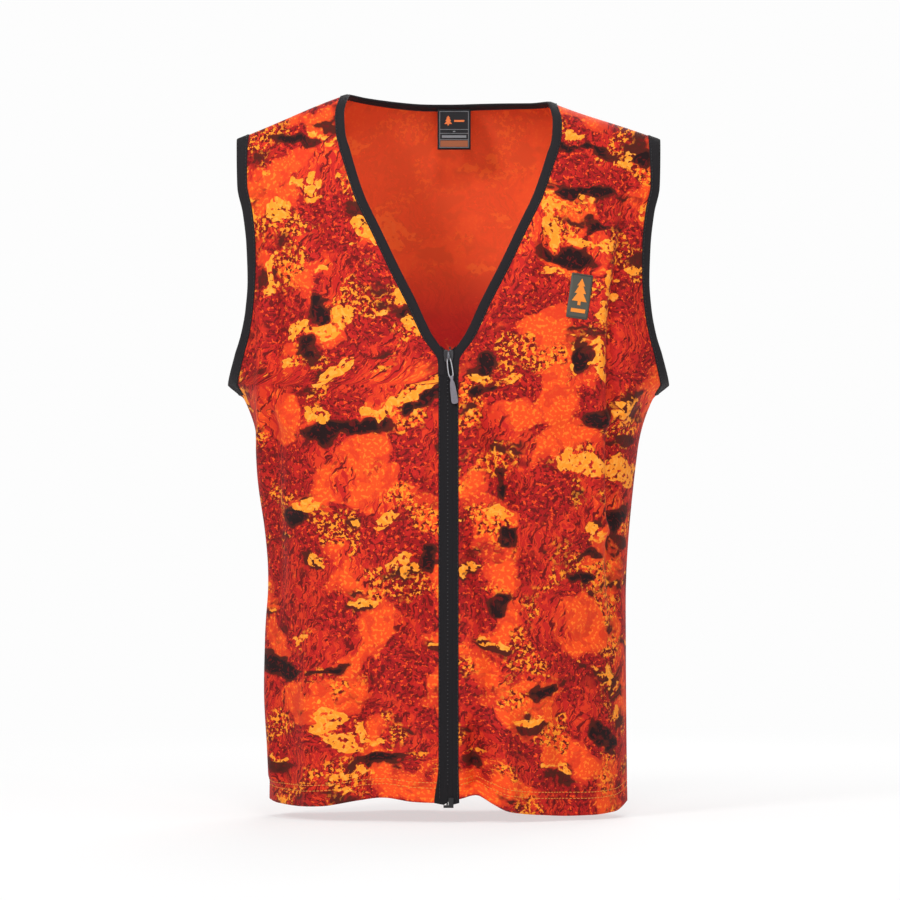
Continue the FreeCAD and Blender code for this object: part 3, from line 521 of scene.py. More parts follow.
def camouflage(shader):
    """Colour of the woodland print: broad patches, drips, mottling, lit and shaded shapes."""
    flat = shader.flat_map()

    def shaken(where, scale, detail, reach):
        away = shader.vector("SUBTRACT", shader.noise_colour(flat, scale, detail), (0.5, 0.5, 0.5))
        return shader.vector("ADD", where, shader.vector("MULTIPLY", away, (reach, reach, 0.0)))

    def spots(where, scale, at, blur, detail=2.0, roughness=0.5):
        return shader.step(shader.noise(where, scale, detail, roughness), at, blur)

    def placed(field, *noise):
        return shader.math("ADD", shader.noise(*noise), shader.attribute(field))

    soft = shaken(flat, 24.0, 3.0, 0.034)
    warped = shaken(soft, 150.0, 2.0, 0.008)
    broad = placed("camo_red", warped, 13.0, 2.0)
    red_area = shader.step(broad, 0.470, 0.012)
    orange_area = shader.flip(red_area)
    drip_area = spots(soft, 15.0, 0.535, 0.02, 1.0)
    mottled_area = shader.step(placed("camo_mottle", warped, 19.0, 2.0), 0.565, 0.03)
    base = shader.mix(shader.step(broad, 0.440, 0.012), ORANGE, BRICK)
    base = shader.mix(red_area, base, RED)
    # Marks of the print, from the lowest up: colour, shape, where they are and how strong.
    for colour, marks, area, strength in (
        (LIGHT_ORANGE, spots(flat, 300.0, 0.585, 0.03, 1.0), orange_area, 0.85),
        (BRICK, spots(warped, 62.0, 0.56, 0.03), orange_area, 0.8),
        (DEEP_RED, spots(warped, 70.0, 0.46, 0.05, 3.0), red_area, 0.85),
        (MAROON, spots(soft, 250.0, 0.522, 0.015, 4.0, 0.62), red_area, 1.0),
        (ORANGE, spots(flat, 230.0, 0.600, 0.015, 3.0, 0.6), red_area, 1.0),
        (BRICK, shader.streaks(warped, 0.15, (300.0, 55.0, 1.0), 0.50), drip_area, 1.0),
        (RED, shader.streaks(warped, -0.30, (230.0, 42.0, 1.0), 0.54), drip_area, 1.0),
        (MAROON, shader.streaks(warped, 0.55, (280.0, 50.0, 1.0), 0.585), drip_area, 1.0),
        (MAROON, spots(flat, 180.0, 0.535, 0.015, 2.5, 0.6), mottled_area, 1.0),
        (YELLOW, spots(flat, 215.0, 0.545, 0.012, 2.5, 0.6), mottled_area, 1.0),
    ):
        base = shader.mix(shader.times(shader.times(marks, strength), area), base, colour)

    stretch = (0.72, 1.25, 1.0)
    lower = shader.vector("ADD", warped, (0.002, 0.012, 0.0))
    shade = placed("camo_dark", lower, 24.0, 3.0, 0.55, stretch)
    grain = shader.noise(warped, 240.0, 2.0)
    base = shader.mix(shader.times(shader.step(shade, 0.585, 0.045), 0.75), base, MAROON)
    dark = shader.mix(shader.step(shade, 0.70, 0.04), BROWN, BLACK_BROWN)
    dark = shader.mix(shader.times(shader.step(grain, 0.58, 0.03), 0.7), dark, MAROON)
    base = shader.mix(shader.step(shade, 0.614, 0.012), base, dark)
    lit = placed("camo_light", warped, 25.0, 3.0, 0.55, stretch)
    bright = shader.mix(shader.step(grain, 0.54, 0.05), YELLOW, PALE_YELLOW)
    nibbled = shader.times(shader.step(lit, 0.630, 0.008), spots(flat, 170.0, 0.42, 0.02))
    return shader.mix(nibbled, base, bright)


def knit(shader, strength):
    """Fine knitted loops, as bump."""
    flat = shader.flat_map()
    wales = shader.waves(flat, 300.0, 0.6, "X")
    courses = shader.waves(flat, 360.0, 0.6, "Y")
    shader.bump(shader.times(wales, courses), strength, 0.0003)


def make_shell_material():
    shader = Shader("camo_knit")
    shader.set(Base_Color=camouflage(shader), Roughness=0.74, Specular_IOR_Level=0.14)
    shader.set(Sheen_Weight=0.03, Sheen_Roughness=0.4)
    knit(shader, 0.35)
    return shader.material


def make_lining_material():
    """Inner face of the cloth: orange, with painted shade that darkens it to red towards the
    waist, and a faint print-through.
    """
    shader = Shader("camo_knit_inside")
    high = shader.node("ShaderNodeSeparateXYZ", {"Vector": shader.place()}).outputs["Z"]
    # Painted shade: below about 0.53 m the inner face fades to the darker red that stands in for
    # the shade inside.
    upper = shader.step(high, 0.530, 0.050)
    shown = shader.mix(0.16, shader.mix(upper, PAINTED_SHADE_LINING, LINING), camouflage(shader))
    shader.set(Base_Color=shown, Roughness=0.8, Specular_IOR_Level=0.12, Sheen_Weight=0.03)
    knit(shader, 0.3)
    return shader.material


def make_ribbed(name, colour, rib, strength, roughness=0.85):
    """Black elastic or woven tape with fine ribs across its length."""
    shader = Shader(name)
    flat = shader.flat_map()
    ribs = shader.waves(flat, rib, 0.4, "X")
    fuzz = shader.noise(flat, 900.0, 2.0)
    lighter = tuple(min(1.0, c * 1.5 + 0.002) for c in colour[:3]) + (1.0,)
    share = shader.times(shader.math("ADD", ribs, fuzz), 0.34)
    shader.set(Base_Color=shader.mix(share, colour, lighter), Roughness=roughness)
    shader.set(Specular_IOR_Level=0.22, Sheen_Weight=0.04, Sheen_Roughness=0.5)
    shader.bump(shader.math("ADD", ribs, shader.times(fuzz, 0.5)), strength, 0.0004)
    return shader.material


def make_plain(name, colour, roughness, metallic=0.0, grain=600.0, variation=0.25, bump=0.12):
    """Moulded or metal surface with fine grain and slightly uneven colour."""
    shader = Shader(name)
    spots = shader.noise(shader.place(), grain, 3.0)
    darker = tuple(c * (1 - variation) for c in colour[:3]) + (1.0,)
    rough = shader.node(
        "ShaderNodeMapRange",
        {"Value": spots, "To Min": roughness * 0.8, "To Max": min(1.0, roughness * 1.2)},
    ).outputs["Result"]
    shader.set(Base_Color=shader.mix(spots, darker, colour), Roughness=rough, Metallic=metallic)
    shader.bump(spots, bump, 0.0002)
    return shader.material


SHELL = make_shell_material()
LINING_MATERIAL = make_lining_material()
BINDING = make_ribbed("binding_elastic", linear(25, 22, 25), 260.0, 0.5)
TAPE = make_ribbed("zip_tape_weave", linear(19, 17, 20), 420.0, 0.35)
TEETH = make_plain("zip_teeth_plastic", linear(22, 20, 23), 0.6)
SLIDER_ENAMEL = make_plain("slider_enamel", linear(44, 42, 46), 0.34)
SLIDER_METAL = make_plain("slider_metal", linear(116, 116, 122), 0.36, 0.85)
LINK_METAL = make_plain("link_metal", linear(205, 205, 210), 0.3, 0.9, bump=0.05)
PULL_RUBBER = make_plain("pull_rubber", linear(122, 117, 126), 0.5)
THREAD = make_plain("golden_thread", linear(238, 150, 52), 0.6, grain=1800.0)
BLACK_THREAD = make_plain("black_thread", linear(26, 24, 27), 0.6, grain=1800.0)
LABEL_CLOTH = make_ribbed("label_weave", linear(24, 24, 27), 520.0, 0.4, 0.55)
LABEL_GREY = make_plain("label_grey_yarn", linear(120, 122, 126), 0.6)
LABEL_BROWN = make_plain("label_brown_yarn", linear(150, 76, 30), 0.6)
LABEL_ORANGE = make_plain("label_orange_yarn", linear(228, 112, 40), 0.6)
PATCH_RUBBER = make_plain("patch_rubber", linear(74, 72, 62), 0.6)
TOOTH_TIP = make_plain("zip_tooth_tip_plastic", linear(48, 46, 50), 0.5)
PATCH_EDGE = make_plain("patch_edge", linear(40, 40, 36), 0.6)
PATCH_ORANGE = make_plain("patch_orange", linear(246, 140, 34), 0.55)
SEAM_THREAD = make_plain("overlock_thread", linear(226, 92, 40), 0.7, grain=1500.0)


# --- mesh helpers ------------------------------------------------------------------------------

def put_in_scene(name, data):
    made = bpy.data.objects.new(name, data)
    bpy.context.scene.collection.objects.link(made)
    return made


def new_piece(name, points, faces, materials, face_slots=None, uvs=None, smooth=True):
    """Mesh object of points and faces; uvs holds one flat position for each point."""
    mesh = bpy.data.meshes.new(name)
    mesh.from_pydata([tuple(p) for p in points], [], [tuple(f) for f in faces])
    for material in materials:
        mesh.materials.append(material)
    if face_slots is not None:
        mesh.polygons.foreach_set("material_index", np.asarray(face_slots, np.int32))
    if uvs is not None:
        layer = mesh.uv_layers.new(name="flat")
        loops = np.zeros(len(mesh.loops), np.int32)
        mesh.loops.foreach_get("vertex_index", loops)
        layer.data.foreach_set("uv", np.asarray(uvs, np.float32)[loops].ravel())
    mesh.polygons.foreach_set("use_smooth", [smooth] * len(mesh.polygons))
    mesh.update()
    return put_in_scene(name, mesh)


def grid_faces(rows, columns, start=0, flip=False, closed=False):
    """Quads of a grid of points stored row by row; closed joins its last column to its first."""
    index = start + np.arange(rows * columns).reshape(rows, columns)
    if closed:
        index = np.concatenate([index, index[:, :1]], axis=1)
    quads = np.stack([index[:-1, :-1], index[:-1, 1:], index[1:, 1:], index[1:, :-1]], axis=-1)
    quads = quads.reshape(-1, 4)
    return quads[:, ::-1] if flip else quads


def rim_faces(rows, columns, offset, flip):
    """Quads that close the rim between an outer grid and an inner one stored after it."""
    index = np.arange(rows * columns).reshape(rows, columns)
    loop = np.concatenate([index[0, :], index[1:, -1], index[-1, -2::-1], index[-2:0:-1, 0]])
    following = np.roll(loop, -1)
    quads = np.stack([loop, loop + offset, following + offset, following], axis=-1)
    return quads[:, ::-1] if flip else quads


def tube_faces(stations, ring):
    """Faces of a tube of points stored ring by ring, with a cap at each end."""
    last = (stations - 1) * ring
    faces = [tuple(f) for f in grid_faces(stations, ring, closed=True)]
    return faces + [tuple(range(ring)), tuple(last + i for i in reversed(range(ring)))]


def fix_normals(piece):
    work = bmesh.new()
    work.from_mesh(piece.data)
    bmesh.ops.recalc_face_normals(work, faces=work.faces)
    work.to_mesh(piece.data)
    work.free()


def joined_piece(name, parts, material):
    """One piece of several parts, each given as its points and faces."""
    points, faces, start = [], [], 0
    for more, quads in parts:
        points.append(more)
        faces += [tuple(i + start for i in face) for face in quads]
        start += len(more)
    made = new_piece(name, np.concatenate(points), faces, [material])
    fix_normals(made)
    return made


def cloth_piece(name, side, angles, highs):
    """Sheet of cloth over a grid of chart points, with a lining face, a rim and a flat map."""
    middle = cloth(side, angles, highs)
    normal = cloth_normal(side, angles, highs)
    rows, columns = angles.shape
    outer = (middle + normal * CLOTH / 2).reshape(-1, 3)
    hem = (HEM_FOLD - CLOTH) * (1 - ramp(highs, HEM_HIGH - 0.001, HEM_HIGH + 0.0008))
    inner = (middle - normal * (CLOTH / 2 + hem)[..., None]).reshape(-1, 3)
    count = rows * columns
    flip = side == "back"
    faces = [
        grid_faces(rows, columns, 0, flip),
        grid_faces(rows, columns, count, not flip),
        rim_faces(rows, columns, count, flip),
    ]
    slots = np.concatenate([np.full(len(f), s) for f, s in zip(faces, (0, 1, 0))])
    smooth_base = garment(side, angles, highs)
    steps = np.linalg.norm(np.diff(smooth_base, axis=1), axis=-1)
    across = np.concatenate([np.zeros((rows, 1)), np.cumsum(steps, axis=1)], axis=1)
    across += smooth_base[:, :1, 0]
    if flip:
        middle_column = columns // 2
        across = 1.3 - (across - across[:, middle_column : middle_column + 1])
    flat = np.stack([across, smooth_base[..., 2]], axis=-1).reshape(-1, 2)
    made = new_piece(
        name,
        np.concatenate([outer, inner]),
        np.concatenate(faces),
        [SHELL, LINING_MATERIAL],
        slots,
        np.concatenate([flat, flat]),
    )
    fields = print_fields(side, smooth_base[..., 0].ravel(), smooth_base[..., 2].ravel())
    for field, values in fields.items():
        layer = made.data.attributes.new(field, "FLOAT", "POINT")
        layer.data.foreach_set("value", np.tile(values, 2).astype(np.float32))
    return made


# Shapes of the print on the fronts, by kind: centre (x, z), half length, half height and lean in
# degrees.
PRINT_SHAPES = {
    "light": [
        (-0.129, 0.406, 0.013, 0.009, -30), (-0.067, 0.411, 0.032, 0.007, 25),
        (-0.039, 0.430, 0.028, 0.006, 25), (-0.137, 0.319, 0.013, 0.007, 0),
        (-0.166, 0.327, 0.015, 0.005, -35), (-0.065, 0.300, 0.014, 0.006, 65),
        (-0.050, 0.262, 0.018, 0.005, 10), (-0.120, 0.100, 0.016, 0.014, -40),
        (-0.094, 0.035, 0.040, 0.006, 0), (-0.146, 0.180, 0.016, 0.008, 60),
        (-0.082, 0.078, 0.030, 0.006, -40), (-0.098, 0.066, 0.022, 0.010, -20),
        (0.137, 0.355, 0.026, 0.013, -20), (0.174, 0.353, 0.012, 0.016, 0),
        (0.045, 0.309, 0.014, 0.014, 0), (0.149, 0.287, 0.013, 0.006, 10),
        (-0.132, 0.686, 0.018, 0.005, -8), (-0.134, 0.640, 0.030, 0.007, 12),
        (-0.171, 0.609, 0.019, 0.009, 75), (-0.158, 0.596, 0.012, 0.005, 40),
        (-0.176, 0.558, 0.018, 0.005, 85), (-0.118, 0.592, 0.014, 0.004, 42),
        (-0.079, 0.582, 0.018, 0.008, -60), (-0.100, 0.577, 0.007, 0.006, 0),
        (-0.131, 0.556, 0.011, 0.005, 50), (-0.155, 0.490, 0.018, 0.006, 60),
        (-0.118, 0.493, 0.020, 0.006, 0), (-0.100, 0.506, 0.011, 0.009, 0),
        (-0.070, 0.506, 0.010, 0.003, 15), (-0.047, 0.525, 0.008, 0.006, 0),
        (-0.108, 0.452, 0.018, 0.006, 40), (-0.163, 0.463, 0.010, 0.008, -30),
        (0.133, 0.690, 0.020, 0.005, -20), (0.168, 0.661, 0.012, 0.004, -20),
        (0.102, 0.601, 0.030, 0.009, -80), (0.137, 0.577, 0.022, 0.006, -8),
        (0.197, 0.615, 0.014, 0.006, 70), (0.098, 0.552, 0.018, 0.004, 0),
        (0.158, 0.538, 0.013, 0.011, 90), (0.149, 0.513, 0.009, 0.007, 70),
        (0.067, 0.450, 0.023, 0.007, 30), (0.152, 0.459, 0.022, 0.005, 88),
    ],
    "dark": [
        (-0.102, 0.390, 0.042, 0.009, 6), (-0.041, 0.415, 0.008, 0.006, 0),
        (-0.020, 0.427, 0.012, 0.008, 20), (-0.154, 0.305, 0.017, 0.010, 0),
        (-0.018, 0.262, 0.006, 0.012, 0), (-0.075, 0.048, 0.042, 0.007, 4),
        (-0.168, 0.153, 0.018, 0.009, -35), (-0.135, 0.150, 0.030, 0.004, 0),
        (0.177, 0.381, 0.017, 0.010, 0), (0.053, 0.335, 0.008, 0.016, 0),
        (0.146, 0.269, 0.015, 0.007, 0), (0.171, 0.296, 0.008, 0.026, 0),
        (0.022, 0.045, 0.012, 0.007, 0), (0.151, 0.087, 0.030, 0.007, -50),
        (0.146, 0.403, 0.010, 0.008, 0), (0.062, 0.287, 0.014, 0.006, -35),
        (0.029, 0.431, 0.013, 0.006, 0), (0.051, 0.218, 0.012, 0.010, 0),
        (0.132, 0.243, 0.012, 0.006, 10), (0.094, 0.130, 0.016, 0.006, 30),
        (-0.150, 0.680, 0.036, 0.006, 0), (-0.128, 0.514, 0.012, 0.010, 30),
        (-0.132, 0.473, 0.017, 0.014, 0), (-0.064, 0.466, 0.020, 0.004, -5),
        (0.130, 0.679, 0.020, 0.004, -14), (0.197, 0.662, 0.010, 0.009, 0),
        (0.138, 0.632, 0.030, 0.004, 0), (0.116, 0.565, 0.033, 0.009, -18),
        (0.143, 0.597, 0.009, 0.006, 0), (0.034, 0.462, 0.009, 0.010, 0),
        (0.136, 0.457, 0.012, 0.005, 90),
    ],
    "red": [
        (-0.155, 0.354, 0.034, 0.022, 0), (-0.096, 0.422, 0.026, 0.020, 0),
        (-0.061, 0.332, 0.016, 0.006, 55), (-0.049, 0.276, 0.032, 0.016, 0),
        (-0.029, 0.361, 0.020, 0.024, 0), (-0.148, 0.074, 0.024, 0.022, 0),
        (-0.040, 0.153, 0.022, 0.032, 0), (0.096, 0.310, 0.028, 0.036, 0),
        (-0.118, 0.190, 0.034, 0.026, 0), (-0.122, 0.573, 0.030, 0.045, 0),
        (-0.073, 0.487, 0.022, 0.016, 0), (0.142, 0.650, 0.035, 0.013, 0),
        (0.084, 0.530, 0.038, 0.022, 0), (0.185, 0.472, 0.018, 0.032, 0),
    ],
    "orange": [
        (-0.086, 0.346, 0.042, 0.034, 0), (-0.164, 0.405, 0.024, 0.026, 0),
        (-0.140, 0.120, 0.034, 0.018, 0), (-0.074, 0.196, 0.036, 0.018, 0),
        (0.121, 0.382, 0.036, 0.012, 0), (0.120, 0.200, 0.030, 0.030, 0),
        (0.089, 0.418, 0.042, 0.024, 12), (-0.150, 0.660, 0.030, 0.012, 0),
    ],
    "mottle": [
        (-0.110, 0.296, 0.030, 0.018, 0), (-0.045, 0.326, 0.016, 0.012, 40),
        (-0.030, 0.302, 0.012, 0.008, -50), (-0.054, 0.242, 0.030, 0.024, 0),
        (0.055, 0.359, 0.022, 0.018, 0), (-0.156, 0.562, 0.020, 0.018, 0),
        (-0.068, 0.522, 0.022, 0.012, 0), (-0.047, 0.449, 0.020, 0.010, 0),
        (0.185, 0.554, 0.009, 0.014, 0), (0.063, 0.475, 0.022, 0.011, 0),
    ],
}
SHAPE_EDGE = (0.45, 1.45)
# What a shape of each kind adds to the fields that the print's colours are drawn from.
KINDS = {
    "light": {"light": 0.24, "dark": -0.10},
    "dark": {"dark": 0.26, "light": -0.25},
    "red": {"red": 0.16, "light": -0.16, "dark": -0.16, "mottle": -0.14},
    "orange": {"red": -0.16, "light": -0.16, "dark": -0.16, "mottle": -0.14},
    "mottle": {"mottle": 0.16},
}


def print_fields(side, x, z):
    """How strongly each point of a panel leans towards a lit, dark, red or mottled print."""
    fields = {f"camo_{name}": np.zeros(x.shape) for name in ("light", "dark", "red", "mottle")}
    if side != "front":
        return fields
    x, z = (
        x + 0.0075 * RAGGED.at(x * 62, z * 62) + 0.0035 * FINE.at(x * 170, z * 170),
        z + 0.0065 * RAGGED.at(x * 58 + 9, z * 58 + 5) + 0.0035 * FINE.at(x * 160 + 7, z * 160),
    )
    for kind, shapes in PRINT_SHAPES.items():
        for cx, cz, half_long, half_high, lean in shapes:
            turn = math.radians(lean)
            along = (x - cx) * math.cos(turn) + (z - cz) * math.sin(turn)
            over = (z - cz) * math.cos(turn) - (x - cx) * math.sin(turn)
            share = 1 - ramp(np.hypot(along / half_long, over / half_high), *SHAPE_EDGE)
            for field, gain in KINDS[kind].items():
                fields[f"camo_{field}"] += gain * share
    return fields


# --- cloth panels ------------------------------------------------------------------------------

def even(low, high, step):
    return np.linspace(low, high, max(2, int(round((high - low) / step)) + 1))


def crest_rows(start, exponent, count):
    """Heights that step evenly round the shoulder."""
    share = np.sin(RIGHT_ANGLE * (0.45 + 0.55 * np.arange(count + 1) / count)) ** (2 / exponent)
    return start + share * (NECK_POINT - start)


def armpit_rows(count):
    """Heights that step evenly round the bottom of the armhole."""
    return ARMPIT + ARMHOLE_ROUND * (1 - np.cos(np.linspace(0, RIGHT_ANGLE, count)))


def panel_rows(side):
    top = crest_rows(*CRESTS[side], 34)
    armpit = armpit_rows(20)
    middle = even(armpit[-1], top[0], CELL)
    hem = np.concatenate([even(0.0, 0.0155, 0.003)[:-1], even(0.0155, 0.0285, 0.0008)[:-1]])
    torso = even(0.0285, ARMPIT, CELL)[:-1]
    return np.concatenate([hem, torso, armpit[:-1], middle[:-1], top])


def close_to_edges(count, low, high):
    """Even shares from low to high, with a few more beside the ends given as sewn edges."""
    fine = np.array([0.0011, 0.0024, 0.0045])
    shares = np.linspace(0, 1, count)
    extra = np.concatenate([fine * low, 1 - fine * high])
    return np.unique(np.concatenate([shares, extra[(extra > 0) & (extra < 1)]]))


def neck_half_width(high):
    return NECK_HALF * neck_curve((high - NECK_FOOT) / (NECK_POINT - NECK_FOOT))


def front_inner_angle(high):
    """Angle of a front panel's inner edge: beside the zip, then up the neckline."""
    straight = TAPE_HIGH.x - 0.0045
    edge = np.where(high > NECK_FOOT, np.maximum(neck_half_width(high), 0.0), 0.0)
    join = ramp(high, NECK_FOOT - 0.004, NECK_FOOT + 0.016)
    x = straight * (1 - join) + np.maximum(edge, 0.004) * join
    return np.arcsin(np.clip(x / section_half_width(high), 0, 1))


def make_front(hand):
    highs = panel_rows("front")
    inner = front_inner_angle(highs)
    outer = np.arccos(armhole_forward(highs))
    share = close_to_edges(int(0.26 / CELL), 0, 3.2)
    angles = inner[:, None] + (outer - inner)[:, None] * share[None, :]
    if hand == "right":
        angles = -angles[:, ::-1]
    grid = np.broadcast_to(highs[:, None], angles.shape)
    return cloth_piece(f"front_{hand}_cloth", "front", angles, grid)


def back_neck_height(x):
    reach = BACK_NECK_DEPTH * np.sqrt(1 - np.minimum(1, np.abs(x) / NECK_HALF) ** 2)
    return ARMPIT + YOKE * (1 - (reach / BACK_DEPTH) ** 2) ** (1 / BACK_CREST)


def back_neck_edge(count):
    """Chart points of the back neckline, from the right neck point to the left one."""
    x = -NECK_HALF * np.cos(np.linspace(0, math.pi, count))
    high = back_neck_height(x)
    return np.arcsin(x / section_half_width(high)), high


def make_back():
    highs = panel_rows("back")
    edge_angle, edge_high = back_neck_edge(121)
    outer = np.arccos(armhole_forward(highs))
    share = close_to_edges(int(0.46 / CELL) | 1, 1.7, 1.7) * 2 - 1
    angles = outer[:, None] * share[None, :]
    top_angles = outer[-1] * share
    top = np.interp(top_angles, edge_angle, edge_high, NECK_POINT, NECK_POINT)
    lift = np.clip((highs - 0.5) / (NECK_POINT - 0.5), 0, 1)
    grid = highs[:, None] - (NECK_POINT - top)[None, :] * lift[:, None]
    return cloth_piece("back_cloth", "back", angles, grid)


# --- bindings ----------------------------------------------------------------------------------

def into_cloth(side, angle, high, sign):
    """Chart step for one metre straight into the cloth from an edge's points."""
    turn, rise = 0.002, 0.0006
    points = garment(side, angle, high)
    along = unit(np.gradient(points, axis=0))
    by_angle = (garment(side, angle + turn, high) - garment(side, angle - turn, high)) / (2 * turn)
    top = np.minimum(high + rise, NECK_POINT)
    by_high = (garment(side, angle, top) - garment(side, angle, top - 2 * rise)) / (2 * rise)
    across = np.cross(unit(np.cross(by_angle, by_high)), along) * sign
    a, b = (by_angle * along).sum(-1), (by_high * along).sum(-1)
    c, d = (by_angle * across).sum(-1), (by_high * across).sum(-1)
    determinant = a * d - b * c
    return -b / determinant, a / determinant


BINDING_PROFILE = [
    (1.00, 0.75), (0.96, 1.20), (0.60, 1.30), (0.25, 1.35), (-0.02, 1.20), (-0.09, 0.60),
    (-0.11, 0.00), (-0.09, -0.60), (-0.02, -1.20), (0.25, -1.30), (0.60, -1.25), (0.90, -1.10),
    (0.92, -0.62), (0.55, -0.70), (0.08, -0.70), (0.00, 0.00), (0.08, 0.70), (0.55, 0.72),
]


def binding_rings(side, angle, high, width, sign, shift=0.0):
    """Points of the binding's folded profile at each station of an edge, shifted off the cloth."""
    step_angle, step_high = into_cloth(side, angle, high, sign)
    rings = []
    for reach, stand in BINDING_PROFILE:
        inward = reach * width - shift
        at_angle = angle + step_angle * inward
        at_high = np.minimum(high + step_high * inward, NECK_POINT)
        point = cloth(side, at_angle, at_high)
        rings.append(point + cloth_normal(side, at_angle, at_high) * stand * 0.001)
    return np.stack(rings, axis=1)


def strip_length(rings):
    """How far along a strip each of its rings lies, on the outer face."""
    outer = rings[:, 3]
    return np.concatenate([[0], np.cumsum(np.linalg.norm(np.diff(outer, axis=0), axis=1))])


def make_strip(name, rings, material=BINDING):
    """Tape with one ring of section points at each station; cut is a folded strip's flat width."""
    stations, ring = rings.shape[:2]
    faces = [tuple(f) for f in grid_faces(stations, ring, closed=True)]
    faces.append(tuple(range(ring))[::-1])
    faces.append(tuple(range((stations - 1) * ring, stations * ring)))
    length = strip_length(rings)
    around = np.linspace(0, BINDING_CUT, ring)
    uvs = np.stack(np.broadcast_arrays(length[:, None], around[None, :]), axis=-1).reshape(-1, 2)
    made = new_piece(name, rings.reshape(-1, 3), faces, [material], uvs=uvs)
    fix_normals(made)
    return made


def armhole_edge(side):
    top = crest_rows(*CRESTS[side], 22)
    armpit = armpit_rows(22)
    high = np.concatenate([armpit, even(armpit[-1], top[0], 0.005)[1:-1], top])
    return np.arccos(armhole_forward(high)), high


def make_armhole_binding(hand):
    sign = SIGNS[hand]
    rings = []
    for side in ("front", "back"):
        angle, high = armhole_edge(side)
        rings.append(binding_rings(side, sign * angle, high, BINDING_WIDTH, sign))
    whole = np.concatenate([rings[0][::-1], rings[1][1:]])
    return make_strip(f"armhole_binding_{hand}_tape", whole)


def front_neck_edge():
    top = crest_rows(*CRESTS["front"], 26)
    high = np.concatenate([even(NECK_FOOT - 0.016, top[0], 0.003)[:-1], top])
    x = np.maximum(neck_half_width(high), 0) * (high > NECK_FOOT)
    x = np.hypot(x, BINDING_FOOT_HALF * (1 - ramp(high, NECK_FOOT, NECK_FOOT + 0.05)))
    return np.arcsin(x / section_half_width(high)), high


def make_neck_binding(hand):
    sign = SIGNS[hand]
    angle, high = front_neck_edge()
    narrow = 1 - ramp(high, NECK_FOOT - 0.014, NECK_FOOT + 0.030)
    width = NECK_BINDING_WIDTH * (1 - 0.22 * narrow)
    rings = binding_rings("front", sign * angle, high, width, -sign, NECK_BINDING_SHIFT)
    return make_strip(f"neck_binding_{hand}_tape", rings)


def make_back_neck_binding():
    x = np.abs(np.cos(np.linspace(0, math.pi, NECK_STATIONS)))
    width = BACK_BINDING_WIDTH + (NECK_BINDING_WIDTH - BACK_BINDING_WIDTH) * ramp(x, 0.90, 1.0)
    shift = NECK_BINDING_SHIFT * ramp(x, 0.80, 1.0)
    rings = binding_rings("back", *back_neck_edge(NECK_STATIONS), width, -1, shift)
    return make_strip("neck_binding_back_tape", rings)


# --- thread ------------------------------------------------------------------------------------

def stitch_mesh(line, normals, long, gap, radius):
    """Points and faces of a row of short rounded stitches along a line on the cloth."""
    spans = np.linalg.norm(np.diff(line, axis=0), axis=1)
    travel = np.concatenate([[0], np.cumsum(spans)])
    count = max(1, int(travel[-1] / (long + gap)))
    starts = (np.arange(count) + 0.5) * (travel[-1] / count) - long / 2
    places = starts[:, None] + long * np.array([0.0, 0.16, 0.5, 0.84, 1.0])[None, :]
    at = np.stack([np.interp(places, travel, line[:, i]) for i in range(3)], axis=-1)
    up = unit(np.stack([np.interp(places, travel, normals[:, i]) for i in range(3)], axis=-1))
    across = np.cross(unit(at[:, -1:] - at[:, :1]), up)
    rise = radius * np.array([-0.5, 0.45, 0.7, 0.45, -0.5])
    size = radius * np.array([0.55, 1.0, 1.0, 1.0, 0.55])
    turn = np.linspace(0, 2 * math.pi, 7)[:-1]
    ring = np.cos(turn)[:, None] * across[:, :, None] + np.sin(turn)[:, None] * up[:, :, None]
    points = at[:, :, None] + up[:, :, None] * rise[None, :, None, None]
    points = points + ring * size[None, :, None, None]
    stations, sides = len(rise), len(turn)
    one = tube_faces(stations, sides)
    faces = [tuple(i + stations * sides * n for i in face) for n in range(count) for face in one]
    return points.reshape(-1, 3), faces


def make_stitches(name, rows, material, long=0.0030, gap=0.0010, radius=0.00036):
    """One piece of stitches along several rows: each a line of points and its normals."""
    parts = [stitch_mesh(line, normals, long, gap, radius) for line, normals in rows]
    return joined_piece(name, parts, material)


def along_cloth(side, angle, high, lift=CLOTH / 2):
    """Line of points on the outside of the cloth, with their normals."""
    normal = cloth_normal(side, angle, high)
    return cloth(side, angle, high) + normal * lift, normal


def hem_rows(side, low, high):
    rows = []
    for height in HEM_ROWS:
        angle = np.linspace(low, high, 120)
        rows.append(along_cloth(side, angle, np.full(120, height)))
    return rows


def edge_row(side, angle, high, sign, reach, lift):
    """Line that runs a fixed reach into the cloth from an edge."""
    step_angle, step_high = into_cloth(side, angle, high, sign)
    return along_cloth(
        side, angle + step_angle * reach, np.minimum(high + step_high * reach, NECK_POINT), lift
    )


def make_binding_stitches():
    """Black thread along the inner edge of every binding; made as one piece for each body."""
    reach, lift = BINDING_WIDTH * STITCH_REACH, 0.00128
    made = []
    for hand, sign in SIGNS.items():
        rows = []
        for side in ("front", "back"):
            angle, high = armhole_edge(side)
            rows.append(edge_row(side, sign * angle, high, sign, reach, lift))
        made.append((make_stitches(f"armhole_stitches_{hand}", rows, BLACK_THREAD), hand))
        angle, high = (values[12:] for values in front_neck_edge())
        near = NECK_BINDING_WIDTH * STITCH_REACH - NECK_BINDING_SHIFT
        row = edge_row("front", sign * angle, high, -sign, near, lift)
        made.append((make_stitches(f"neck_stitches_{hand}", [row], BLACK_THREAD), hand))
    angle, high = (values[4:-4] for values in back_neck_edge(NECK_STATIONS))
    row = edge_row("back", angle, high, -1, reach, lift)
    inside = edge_row("back", angle, high, -1, reach, -0.00135)
    made.append((make_stitches("neck_stitches_back", [row, inside], BLACK_THREAD), "back"))
    return made


# --- zip ---------------------------------------------------------------------------------------

